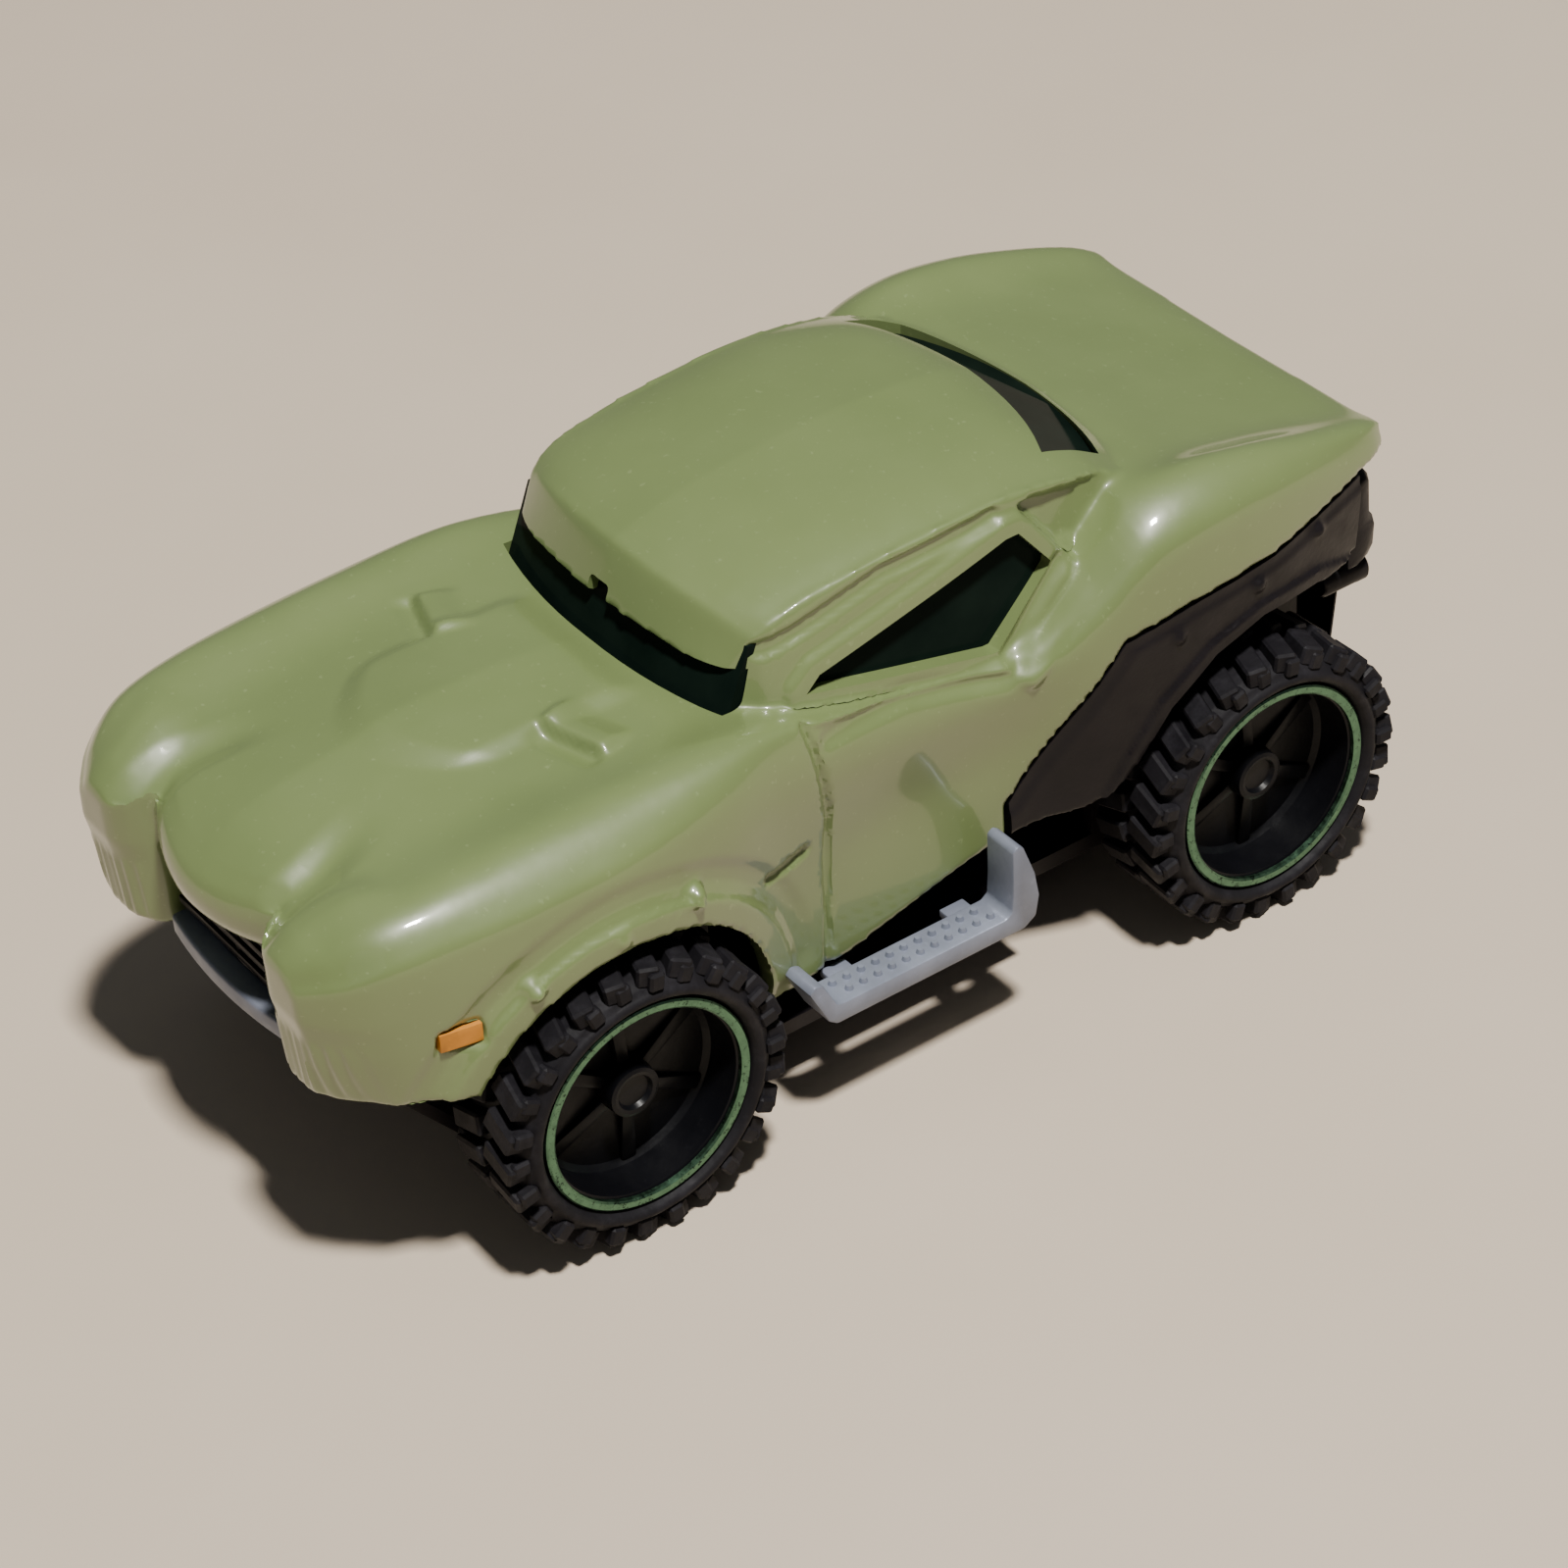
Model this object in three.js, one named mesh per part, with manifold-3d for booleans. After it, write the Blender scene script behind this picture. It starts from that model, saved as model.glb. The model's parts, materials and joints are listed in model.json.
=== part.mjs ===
// Pull back car: a pocket-sized off-road muscle car with a die-cast body, a plastic
// chassis, four knobbly wheels on two through axles, and a wind-up spring motor that
// drives the rear axle. Millimetres, +Z up. The nose points along -Y, the car's left
// side is +X, and the origin is on the ground under the middle of the car.
import * as THREE from 'three';
import { mergeVertices } from 'three/addons/utils/BufferGeometryUtils.js';
import Module from 'manifold-3d';

const wasm = await Module();
wasm.setup();

// ---------------------------------------------------------------- driving dimensions
const WHEELBASE = 41.5;        // front axle to rear axle
const FRONT_OVERHANG = 15.9;   // front axle to the tip of the nose
const REAR_OVERHANG = 11.8;    // rear axle to the back of the bumper
const TRACK = 28.2;            // between the tyres' middle planes
const TYRE_RADIUS = 8.55;
const TYRE_WIDTH = 5.8;
const RING_RADIUS = 6.25;      // the coloured ring round the rim
const RING_WALL = 0.45;
const RING_DEPTH = 0.4;
const RIM_WALL = 0.55;
const HUB_RADIUS = 1.45;
const HUB_RECESS = 1.3;        // from the ring's face in to the hub's face
const SPOKE_COUNT = 6;
const AXLE_RADIUS = 0.75;
const BODY_WALL = 1.2;         // the die casting's wall
const BODY_WIDEN = 0;          // added to each half width of the body
const ARCH_GAP = 1.15;         // tyre tread to the front arch's edge
const BASE_FLOOR = 1;          // chassis floor thickness
const BASE_DROP = 4.6;         // underside of the chassis below the axles
const BASE_HALF_WIDTH = 9.8;   // between the wheels
const BASE_WALL = 0.8;
const SEAT_GAP = 0.1;          // pieces pressed or snapped together
const PART_GAP = 0.3;          // pieces cut to follow each other
const RUN_GAP = 0.08;          // a shaft turning in its hole, all round
const GEAR_MODULE = 0.4;
const PINION_TEETH = 10;
const WHEEL_TEETH = 26;
const DRUM_TEETH = 28;
const GEAR_WIDTH = 1.7;
const GEAR_LASH = 0.09;        // taken off each tooth's thickness
const MOTOR_HALF_WIDTH = 5.2;
const MOTOR_WALL = 0.8;
const SPRING_TURNS = 5;
const SPRING_STRIP = 0.22;
const POST_RADIUS = 1.9;       // casting posts that the chassis rivets to
const RIVET_RADIUS = 0.85;

// ---------------------------------------------------------------- derived places
const LENGTH = FRONT_OVERHANG + WHEELBASE + REAR_OVERHANG;
const FRONT_AXLE_Y = -LENGTH / 2 + FRONT_OVERHANG;
const REAR_AXLE_Y = FRONT_AXLE_Y + WHEELBASE;
const AXLE_Z = TYRE_RADIUS;
const WHEEL_FACE_X = (TRACK + TYRE_WIDTH) / 2;
const BASE_UNDER_Z = AXLE_Z - BASE_DROP;
const BASE_TOP_Z = BASE_UNDER_Z + BASE_FLOOR;
const ARCH_RADIUS = TYRE_RADIUS + ARCH_GAP;
const AXLE_HOLE = AXLE_RADIUS + RUN_GAP;

// Stations along the car: 'nose' ones keep their distance from the front axle, 'tail' ones
// from the rear axle, and 'door' ones their share of the wheelbase. Heights are above the axles.
const along = {
  nose: (d) => FRONT_AXLE_Y + d,
  door: (share) => FRONT_AXLE_Y + share * WHEELBASE,
  tail: (d) => REAR_AXLE_Y + d,
};

const group = new THREE.Group();

// ---------------------------------------------------------------- helpers
function solidOf(geometry) {
  const bare = geometry.clone();
  bare.deleteAttribute('normal');
  bare.deleteAttribute('uv');
  const merged = mergeVertices(bare, 1e-4);
  return new wasm.Manifold(new wasm.Mesh({
    numProp: 3,
    vertProperties: new Float32Array(merged.attributes.position.array),
    triVerts: new Uint32Array(merged.index.array),
  }));
}

function geometryOf(solid) {
  const mesh = solid.getMesh();
  const geometry = new THREE.BufferGeometry();
  geometry.setAttribute('position', new THREE.BufferAttribute(mesh.vertProperties, 3));
  geometry.setIndex(new THREE.BufferAttribute(mesh.triVerts, 1));
  geometry.computeVertexNormals();
  return geometry;
}

function finish(color, roughness, metalness) {
  return new THREE.MeshStandardMaterial({ color, roughness, metalness });
}

function add(name, shape, material) {
  const geometry = shape.isBufferGeometry ? shape : geometryOf(shape);
  const mesh = new THREE.Mesh(geometry, material);
  mesh.name = name;
  group.add(mesh);
  return mesh;
}

function box(x0, x1, y0, y1, z0, z1) {
  const geometry = new THREE.BoxGeometry(x1 - x0, y1 - y0, z1 - z0);
  return solidOf(geometry.translate((x0 + x1) / 2, (y0 + y1) / 2, (z0 + z1) / 2));
}

// a cylinder along X
function barX(radius, x0, x1, y, z, sides = 24) {
  const geometry = new THREE.CylinderGeometry(radius, radius, x1 - x0, sides);
  return solidOf(geometry.rotateZ(-Math.PI / 2).translate((x0 + x1) / 2, y, z));
}

// an upright cylinder
function barZ(radius, x, y, z0, z1, sides = 14) {
  const geometry = new THREE.CylinderGeometry(radius, radius, z1 - z0, sides);
  return solidOf(geometry.rotateX(Math.PI / 2).translate(x, y, (z0 + z1) / 2));
}

// a closed outline of [y, z] points pushed along X
function slabX(points, x0, x1) {
  const shape = new THREE.Shape(points.map(([y, z]) => new THREE.Vector2(y, z)));
  const geometry = new THREE.ExtrudeGeometry(shape, { depth: x1 - x0, bevelEnabled: false });
  const place = new THREE.Matrix4().makeBasis(
    new THREE.Vector3(0, 1, 0), new THREE.Vector3(0, 0, 1), new THREE.Vector3(1, 0, 0));
  return solidOf(geometry.applyMatrix4(place).translate(x0, 0, 0));
}

// a turned shape: [radius, x] profile round the X axis through (y, z)
function turnedX(profile, y, z, sides = 32) {
  const points = profile.map(([r, x]) => new THREE.Vector2(r, x));
  const geometry = new THREE.LatheGeometry(points, sides).rotateZ(-Math.PI / 2);
  let solid = solidOf(geometry.translate(0, y, z));
  return solid.volume() < 0 ? solidOf(flipped(geometry)) : solid;
}

function flipped(geometry) {
  const index = geometry.index.array.slice();
  for (let i = 0; i < index.length; i += 3) [index[i], index[i + 1]] = [index[i + 1], index[i]];
  const turned = geometry.clone();
  turned.setIndex(new THREE.BufferAttribute(index, 1));
  return turned;
}

const mirrorX = (solid) => solid.mirror([1, 0, 0]);

// ---------------------------------------------------------------- body surfaces
// Half sections of the lower body. mid: height on the centre line; fold: the shallow valley
// beside the bonnet or boot; ridge: the wing's top edge; side: the widest point; waist: the
// hollow under it; sill: the bottom edge. Each is [half width, height above the axles].
const BODY_STATIONS = [
  { at: ['nose', -FRONT_OVERHANG], mid: 12.2, fold: [6.2, 12.4], ridge: [9.4, 13.1], side: [10.9, 11.6],
    waist: [10.9, 8], sill: [10.2, 5] },
  { at: ['nose', -14.3], mid: 13.6, fold: [6.6, 13.5], ridge: [10.9, 14.4], side: [12.9, 12.1],
    waist: [12.8, 8], sill: [12.1, 4.7] },
  { at: ['nose', -12], mid: 14.9, fold: [7.2, 14.5], ridge: [11.9, 15.7], side: [14.3, 12.4],
    waist: [14.2, 8.4], sill: [13.8, 4.6] },
  { at: ['nose', -8.5], mid: 15.7, fold: [7.6, 15.1], ridge: [12.4, 16.4], side: [15.1, 12.6],
    waist: [15.1, 9], sill: [14.9, 4.4] },
  { at: ['nose', -3.5], mid: 16.3, fold: [7.9, 15.6], ridge: [12.6, 16.9], side: [15.6, 12.9],
    waist: [15.7, 9.6], sill: [15.5, 3] },
  { at: ['nose', 2], mid: 16.4, fold: [8.2, 15.8], ridge: [12.7, 17.1], side: [15.6, 13],
    waist: [15.7, 9.8], sill: [15.4, 1.5] },
  { at: ['nose', 7.5], mid: 16.1, fold: [8.6, 15.9], ridge: [12.7, 17], side: [14.9, 12.8],
    waist: [14.6, 8], sill: [14.3, 0.2] },
  { at: ['nose', 11.5], mid: 15.8, fold: [9, 15.8], ridge: [12.5, 16.4], side: [14, 12.4],
    waist: [13.4, 6.6], sill: [13.2, -0.6] },
  { at: ['door', 0.4], mid: 15.2, fold: [8.6, 15], ridge: [12.2, 15.2], side: [13.4, 12],
    waist: [12.6, 6.4], sill: [12.8, -0.2] },
  { at: ['door', 0.56], mid: 14.6, fold: [8.6, 14.2], ridge: [12.1, 13.9], side: [13.2, 11.6],
    waist: [12.4, 6.8], sill: [12.7, 1.4] },
  { at: ['tail', -14], mid: 15.6, fold: [8.8, 14.8], ridge: [12.4, 14.1], side: [13.9, 12],
    waist: [13.2, 7.6], sill: [13, 2.2] },
  { at: ['tail', -10.4], mid: 18, fold: [9, 17.6], ridge: [12.6, 17], side: [14.9, 13.6],
    waist: [14.8, 9.4], sill: [14.5, 3] },
  { at: ['tail', -7], mid: 19.5, fold: [9.2, 19.5], ridge: [12.7, 19.9], side: [15.4, 15.4],
    waist: [15.4, 11.2], sill: [15.2, 6.4] },
  { at: ['tail', -3], mid: 19.2, fold: [9.2, 19.4], ridge: [12.8, 20.8], side: [15.6, 16],
    waist: [15.6, 12.8], sill: [15.4, 9.6] },
  { at: ['tail', 1.5], mid: 18.4, fold: [9.2, 18.6], ridge: [12.9, 20.2], side: [15.3, 16],
    waist: [15.3, 13], sill: [15, 10.2] },
  { at: ['tail', 6], mid: 17.6, fold: [9.2, 17.8], ridge: [12.8, 18.9], side: [14.5, 15.6],
    waist: [14.4, 13], sill: [14.2, 10.4] },
  { at: ['tail', 9.4], mid: 17.1, fold: [9.1, 17.2], ridge: [12.4, 17.8], side: [13.6, 15.4],
    waist: [13.5, 13], sill: [13.2, 10.6] },
  { at: ['tail', 11], mid: 16.6, fold: [9, 16.7], ridge: [11.9, 17], side: [12.7, 15.2],
    waist: [12.6, 13], sill: [12.4, 10.8] },
];

// Half sections of the cabin: top on the centre line, crown beside it, ridge along the roof's
// edge, belt where the side meets the doors.
const CABIN_STATIONS = [
  { at: ['nose', 9.9], top: 18.6, crown: [6, 18.3], ridge: [9, 17.6], belt: [10.2, 15] },
  { at: ['nose', 10.7], top: 20.4, crown: [6.2, 20], ridge: [9.7, 18.9], belt: [10.8, 15] },
  { at: ['nose', 13], top: 21.8, crown: [6.4, 21.4], ridge: [10.4, 20.3], belt: [11.4, 14.6] },
  { at: ['nose', 17], top: 22.7, crown: [6.6, 22.3], ridge: [10.9, 21], belt: [11.9, 14] },
  { at: ['door', 0.55], top: 23.2, crown: [6.7, 22.8], ridge: [11, 21.6], belt: [12.1, 13.4] },
  { at: ['tail', -14], top: 23.2, crown: [6.7, 22.8], ridge: [11, 21.6], belt: [12.2, 13.4] },
  { at: ['tail', -10], top: 22.8, crown: [6.6, 22.4], ridge: [10.9, 21.1], belt: [12.3, 14] },
  { at: ['tail', -7], top: 22.3, crown: [6.4, 21.9], ridge: [10.6, 20.6], belt: [12.2, 15] },
  { at: ['tail', -5.6], top: 21.6, crown: [6, 21.2], ridge: [9.8, 20], belt: [11.6, 15] },
  { at: ['tail', -3.4], top: 18.4, crown: [5.4, 18.2], ridge: [8.6, 18], belt: [10, 15] },
];
const CABIN_ROOT = 12;         // the cabin's surface carries on down inside the body to here

// smooth values between stations: every number of a station follows one spline along the car
function stationsAt(stations, keys, count) {
  const rows = stations.map((s) => [along[s.at[0]](s.at[1]), ...keys.flatMap((k) => s[k])]);
  const curves = rows[0].slice(1).map((_, i) => new THREE.SplineCurve(
    rows.map((row) => new THREE.Vector2(row[0], row[i + 1]))));
  const sampled = [];
  for (let n = 0; n <= count; n++) {
    const points = curves.map((curve) => curve.getPoint(n / count));
    sampled.push({ y: points[0].x, values: points.map((p) => p.y) });
  }
  return sampled;
}

// one full section from its right half, [half width, height] points from the middle outwards
function ring(half, perSpan, inset, floorZ) {
  const widened = half.map(([x, z]) => new THREE.Vector2(
    x > 0 ? x + BODY_WIDEN - inset : 0, z - (x > half[half.length - 1][0] - 0.01 ? 0 : inset)));
  const curve = new THREE.SplineCurve(widened);
  const side = curve.getPoints((widened.length - 1) * perSpan).map((p) => [p.x, p.y]);
  side[0][0] = 0;
  side.push([side[side.length - 1][0], floorZ]);
  const right = side.slice(1).map(([x, z]) => [-x, z]).reverse();
  return [...side, ...right];
}

// a closed skin over rings of equal length
function loft(rings) {
  const size = rings[0].points.length;
  const position = rings.flatMap(({ y, points }) => points.flatMap(([x, z]) => [x, y, z + AXLE_Z]));
  const index = [];
  for (let r = 0; r + 1 < rings.length; r++) {
    for (let i = 0; i < size; i++) {
      const a = r * size + i;
      const b = r * size + (i + 1) % size;
      index.push(a, b, a + size, b, b + size, a + size);
    }
  }
  for (const [r, front] of [[0, true], [rings.length - 1, false]]) {
    const { y, points } = rings[r];
    const centre = position.length / 3;
    const middle = points.reduce((sum, p) => sum + p[1], 0) / size;
    position.push(0, y, middle + AXLE_Z);
    for (let i = 0; i < size; i++) {
      const a = r * size + i;
      const b = r * size + (i + 1) % size;
      index.push(...(front ? [centre, b, a] : [centre, a, b]));
    }
  }
  const geometry = new THREE.BufferGeometry();
  geometry.setAttribute('position', new THREE.Float32BufferAttribute(position, 3));
  geometry.setIndex(index);
  const solid = solidOf(geometry);
  return solid.volume() < 0 ? solidOf(flipped(geometry)) : solid;
}

// the lower body's skin, inset from its outside, with count rings
function bodySkin(inset, count, perSpan, floorOf) {
  const rows = stationsAt(BODY_STATIONS, ['mid', 'fold', 'ridge', 'side', 'waist', 'sill'], count);
  const first = rows[0].y;
  const last = rows[rows.length - 1].y;
  return loft(rows.map(({ y, values: [mid, fx, fz, rx, rz, sx, sz, wx, wz, lx, lz] }) => ({
    y: first + inset + (y - first) * (last - first - 2 * inset) / (last - first),
    points: ring([[0, mid], [fx, fz], [rx, rz], [sx, sz], [wx, wz], [lx, lz]],
      perSpan, inset, floorOf(lz)),
  })));
}

function cabinSkin(inset, count, perSpan, root) {
  const rows = stationsAt(CABIN_STATIONS, ['top', 'crown', 'ridge', 'belt'], count);
  const first = rows[0].y;
  const last = rows[rows.length - 1].y;
  return loft(rows.map(({ y, values: [top, cx, cz, rx, rz, bx, bz] }) => ({
    y: first + inset + (y - first) * (last - first - 2 * inset) / (last - first),
    points: ring([[0, top], [cx, cz], [rx, rz], [bx, bz]], perSpan, inset, root),
  })));
}

// ---------------------------------------------------------------- outlines on the body's side
const above = (points) => points.map(([where, d, z]) => [along[where](d), z + AXLE_Z]);

const SIDE_WINDOW = above([
  ['nose', 14.4, 16.2], ['door', 0.66, 19.9], ['tail', -11.4, 17.5], ['tail', -15.6, 13.9],
]);
const QUARTER_RECESS = above([
  ['tail', -13.9, 21.3], ['tail', -6.3, 20.8], ['tail', -10.2, 17.5],
]);
// the plastic flare takes the body's side below this line, back from the sill to the tail
const FLARE_TOP = [
  ['tail', -15.2, 4], ['tail', -12.2, 8.4], ['tail', -9, 12.8], ['tail', -4.2, 13.7],
  ['tail', 1, 14.1], ['tail', 5.2, 14.9], ['tail', 8.2, 15.4],
];
const FLARE_ARCH = [
  ['tail', 8.2, 9.4], ['tail', 4.4, 10.7], ['tail', 0, 10.9], ['tail', -3.4, 10],
  ['tail', -6.4, 7.8], ['tail', -8.4, 5], ['tail', -10.2, 1.6],
];
const FLARE_OUTLINE = above([...FLARE_TOP, ...FLARE_ARCH, ['tail', -15.2, 1.6]]);
const GRILLE_HALF_WIDTH = 6.3;
const GRILLE_TOP = 9.9;
// casting posts on the centre line, and how far above the axles they meet the roof of the body
const POSTS = [{ y: along.nose(-3.2), top: 15.6 }, { y: along.tail(6.9), top: 16.7 }];

const FAR = 40;                // further out than any part of the car

function bothSides(make) {
  const left = make();
  return left.add(mirrorX(left));
}

function makeBodyShell(outside) {
  const insideLow = bodySkin(BODY_WALL, 18, 2, () => -BASE_DROP - 2);
  const insideCabin = cabinSkin(BODY_WALL, 10, 2, CABIN_ROOT - 2);
  let shell = outside.subtract(insideLow).subtract(insideCabin);
  const archX = BASE_HALF_WIDTH + PART_GAP;
  shell = shell.subtract(bothSides(() => barX(ARCH_RADIUS, archX, FAR, FRONT_AXLE_Y, AXLE_Z, 40)));
  shell = shell.subtract(bothSides(() => slabX(flareCut(), archX, FAR)));
  shell = shell.subtract(bothSides(() => slabX(SIDE_WINDOW, 8, FAR)));
  shell = shell.subtract(bothSides(() => slabX(QUARTER_RECESS, 10.9 + BODY_WIDEN, FAR)));
  shell = shell.subtract(windscreenCut()).subtract(rearWindowCut());
  shell = shell.subtract(box(-GRILLE_HALF_WIDTH, GRILLE_HALF_WIDTH, -FAR,
    along.nose(-FRONT_OVERHANG + 4), 0, AXLE_Z + GRILLE_TOP));
  shell = shell.subtract(box(-FAR, FAR, along.tail(8.4), FAR, 0, AXLE_Z + 13.9));
  shell = shell.subtract(bothSides(() => markerSolid(PART_GAP)));
  for (const { y, top } of POSTS) {
    const post = barZ(POST_RADIUS, 0, y, BASE_TOP_Z + PART_GAP, AXLE_Z + top)
      .subtract(barZ(RIVET_RADIUS + SEAT_GAP, 0, y, 0, BASE_TOP_Z + 4));
    shell = shell.add(post);
  }
  return shell;
}

// everything below the flare's top line, with the gap between the two pieces
function flareCut() {
  const top = above(FLARE_TOP).map(([y, z]) => [y, z + PART_GAP]);
  const front = top[0][0] - PART_GAP;
  const tail = top[top.length - 1];
  return [[front, 0], [front, top[0][1]], ...top, [FAR, tail[1]], [FAR, 0]].reverse();
}

// the windscreen's opening: a low wide slot, swept back, with a small notch in the middle
function windscreenCut() {
  const foot = AXLE_Z + 16;
  const head = AXLE_Z + 17.9;
  const slot = slabX([[along.nose(6), foot], [along.nose(14), foot], [along.nose(14), head],
    [along.nose(6), head]], -9.9, 9.9);
  const notch = box(-0.8, 0.8, along.nose(6), along.nose(13), head - 0.5, head + 0.9);
  return slot.add(notch);
}

// the rear window's opening: a low slot behind the roof, narrower at its ends
function rearWindowCut() {
  const shape = new THREE.Shape();
  shape.moveTo(-8.6, 20.7);
  shape.quadraticCurveTo(0, 23.6, 8.6, 20.7);
  shape.quadraticCurveTo(0, 18.9, -8.6, 20.7);
  const geometry = new THREE.ExtrudeGeometry(shape, {
    depth: 6, bevelEnabled: false, curveSegments: 10,
  });
  const y = along.tail(-7.8);
  return solidOf(geometry.rotateX(Math.PI / 2).translate(0, y + 6, AXLE_Z));
}

// the amber marker let into the wing ahead of the front wheel, grown by a margin
function markerSolid(margin) {
  const y = along.nose(-9.2);
  const z = AXLE_Z + 8.3;
  return box(11.6, FAR, y - 1.1 - margin, y + 1.1 + margin, z - 0.55 - margin, z + 0.55 + margin);
}

// ---------------------------------------------------------------- body, windows and trim
const paint = finish(0x8b9b6b, 0.28, 0.1);
const smoked = finish(0x20342a, 0.12, 0);
const blackPlastic = finish(0x1b1a1e, 0.55, 0);
const greyPlastic = finish(0x8d93a0, 0.38, 0.5);
const amber = finish(0xd08a2c, 0.3, 0);
const steel = finish(0xa8abb0, 0.3, 1);
const zinc = finish(0x9a9c9c, 0.5, 0.9);
const greenMetal = finish(0x1f6a48, 0.25, 0.85);
const rubber = finish(0x17161a, 0.85, 0);
const nylon = finish(0xe8e4d8, 0.5, 0);
const motorPlastic = finish(0x2e4f7a, 0.5, 0);
const springSteel = finish(0x6b7078, 0.35, 1);
const brass = finish(0xb08d4f, 0.35, 1);

const outerBody = bodySkin(0, 34, 3, (sill) => sill);
const outerCabin = cabinSkin(0, 18, 3, CABIN_ROOT);
const outside = outerBody.add(outerCabin);
add('body_shell', makeBodyShell(outside), paint);

// one smoked moulding lines the cabin and shows through all its windows
function makeGlazing() {
  const gap = BODY_WALL + PART_GAP;
  const sheet = 0.8;
  const floor = 13.4;
  return cabinSkin(gap, 10, 2, floor).subtract(cabinSkin(gap + sheet, 10, 2, floor - 2));
}
add('window_glazing', makeGlazing(), smoked);

function makeFlare() {
  const band = slabX(FLARE_OUTLINE, 11, FAR);
  const core = bodySkin(BODY_WALL + 0.3, 18, 2, () => -BASE_DROP - 2);
  return outerBody.intersect(band).subtract(core);
}
const flareLeft = makeFlare();
add('rear_flare_left', flareLeft, blackPlastic);
add('rear_flare_right', mirrorX(flareLeft), blackPlastic);

function makeMarker() {
  const depth = 0.9;
  const skin = bodySkin(BODY_WALL - depth, 34, 2, (sill) => sill);
  const core = bodySkin(BODY_WALL + 0.1, 34, 2, () => 0);
  return skin.subtract(core).intersect(markerSolid(0));
}
const markerLeft = makeMarker();
add('marker_lamp_left', markerLeft, amber);
add('marker_lamp_right', mirrorX(markerLeft), amber);

// the black grille under the bonnet's lip
function makeGrille() {
  const front = along.nose(-13.6);
  const back = along.nose(-FRONT_OVERHANG + 4) - PART_GAP;
  const half = GRILLE_HALF_WIDTH - PART_GAP;
  const foot = AXLE_Z + 6.1;
  const head = AXLE_Z + GRILLE_TOP - PART_GAP;
  let grille = box(-half, half, front, back, foot, head);
  for (const z of [foot + 1.1, foot + 2.3]) {
    grille = grille.subtract(box(-half + 0.5, half - 0.5, front - 1, front + 0.6, z - 0.3, z + 0.3));
  }
  return grille;
}
add('front_grille', makeGrille(), blackPlastic);

function makeFrontBumper() {
  const half = GRILLE_HALF_WIDTH - PART_GAP;
  const z = AXLE_Z + 5.2;
  const bar = box(-half, half, along.nose(-14.7), along.nose(-12.9), z - 0.65, z + 0.6);
  const stays = bothSides(() => box(2.4, 4, along.nose(-13), along.nose(-11.2), z + 0.1, z + 0.6));
  return bar.add(stays);
}
add('front_bumper', makeFrontBumper(), greyPlastic);

// a running board: a tray with an upturned lip in front and a curved fin behind
const STEP_FRONT = along.door(0.285);
const STEP_BACK = along.door(0.605);
const STEP_OUT = WHEEL_FACE_X - 0.9;
function makeStep() {
  const foot = AXLE_Z - 1.5;
  const deck = AXLE_Z - 0.3;
  const inner = 13.75 + BODY_WIDEN;
  const floor = box(inner, STEP_OUT, STEP_FRONT, STEP_BACK, foot, deck);
  const tabs = [0.2, 0.8].map((share) => {
    const y = STEP_FRONT + share * (STEP_BACK - STEP_FRONT);
    return box(12 + BODY_WIDEN + PART_GAP, inner + 0.5, y - 0.8, y + 0.8, foot, foot + 0.5);
  });
  const lip = slabX([[STEP_FRONT - 1.4, deck + 1.6], [STEP_FRONT - 0.6, deck + 1.9],
    [STEP_FRONT + 0.6, deck - 0.1], [STEP_FRONT, foot]].reverse(), inner + 0.3, STEP_OUT);
  const fin = slabX([[STEP_BACK - 0.8, deck - 0.1], [STEP_BACK - 1.2, deck + 4.2],
    [STEP_BACK - 0.4, deck + 4.4], [STEP_BACK + 0.5, deck + 1.2], [STEP_BACK + 0.3, foot]].reverse(),
  inner + 0.3, STEP_OUT);
  return [lip, fin, ...tabs].reduce((whole, piece) => whole.add(piece), floor);
}
const stepLeft = makeStep();
add('side_step_left', stepLeft, greyPlastic);
add('side_step_right', mirrorX(stepLeft), greyPlastic);

// ---------------------------------------------------------------- chassis
function makeChassis() {
  const under = [[along.nose(-12.6), AXLE_Z + 4], [along.nose(-5.6), BASE_UNDER_Z],
    [along.tail(9.2), BASE_UNDER_Z], [along.tail(10.6), AXLE_Z + 6.4]];
  const upper = under.map(([y, z]) => [y, z + BASE_FLOOR]).reverse();
  const floor = slabX([...under, ...upper], -BASE_HALF_WIDTH, BASE_HALF_WIDTH);
  const wide = box(-12 - BODY_WIDEN, 12 + BODY_WIDEN, along.nose(ARCH_RADIUS + 1),
    along.tail(-ARCH_RADIUS - 4), BASE_UNDER_Z, BASE_TOP_Z - 0.1);
  let base = floor.add(wide);
  for (const [y, ahead, behind] of [[FRONT_AXLE_Y, 5.5, 8.6], [REAR_AXLE_Y, 7.4, 7.4]]) {
    base = base.add(bothSides(() => box(BASE_HALF_WIDTH - BASE_WALL, BASE_HALF_WIDTH,
      y - ahead, y + behind, BASE_UNDER_Z, AXLE_Z + 9.4)));
    base = base.subtract(barX(AXLE_HOLE, -FAR, FAR, y, AXLE_Z, 24));
  }
  for (const { y } of POSTS) {
    base = base.subtract(barZ(RIVET_RADIUS + SEAT_GAP, 0, y, 0, BASE_TOP_Z + 1));
  }
  return base;
}
add('chassis_base', makeChassis(), blackPlastic);

// rivets through the chassis into the body's posts
POSTS.forEach(({ y }, i) => {
  const rivet = barZ(RIVET_RADIUS, 0, y, BASE_UNDER_Z - 0.3, BASE_TOP_Z + 3)
    .add(barZ(1.6, 0, y, BASE_UNDER_Z - 0.5, BASE_UNDER_Z - SEAT_GAP));
  add(['base_rivet_front', 'base_rivet_rear'][i], rivet, zinc);
});

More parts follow.
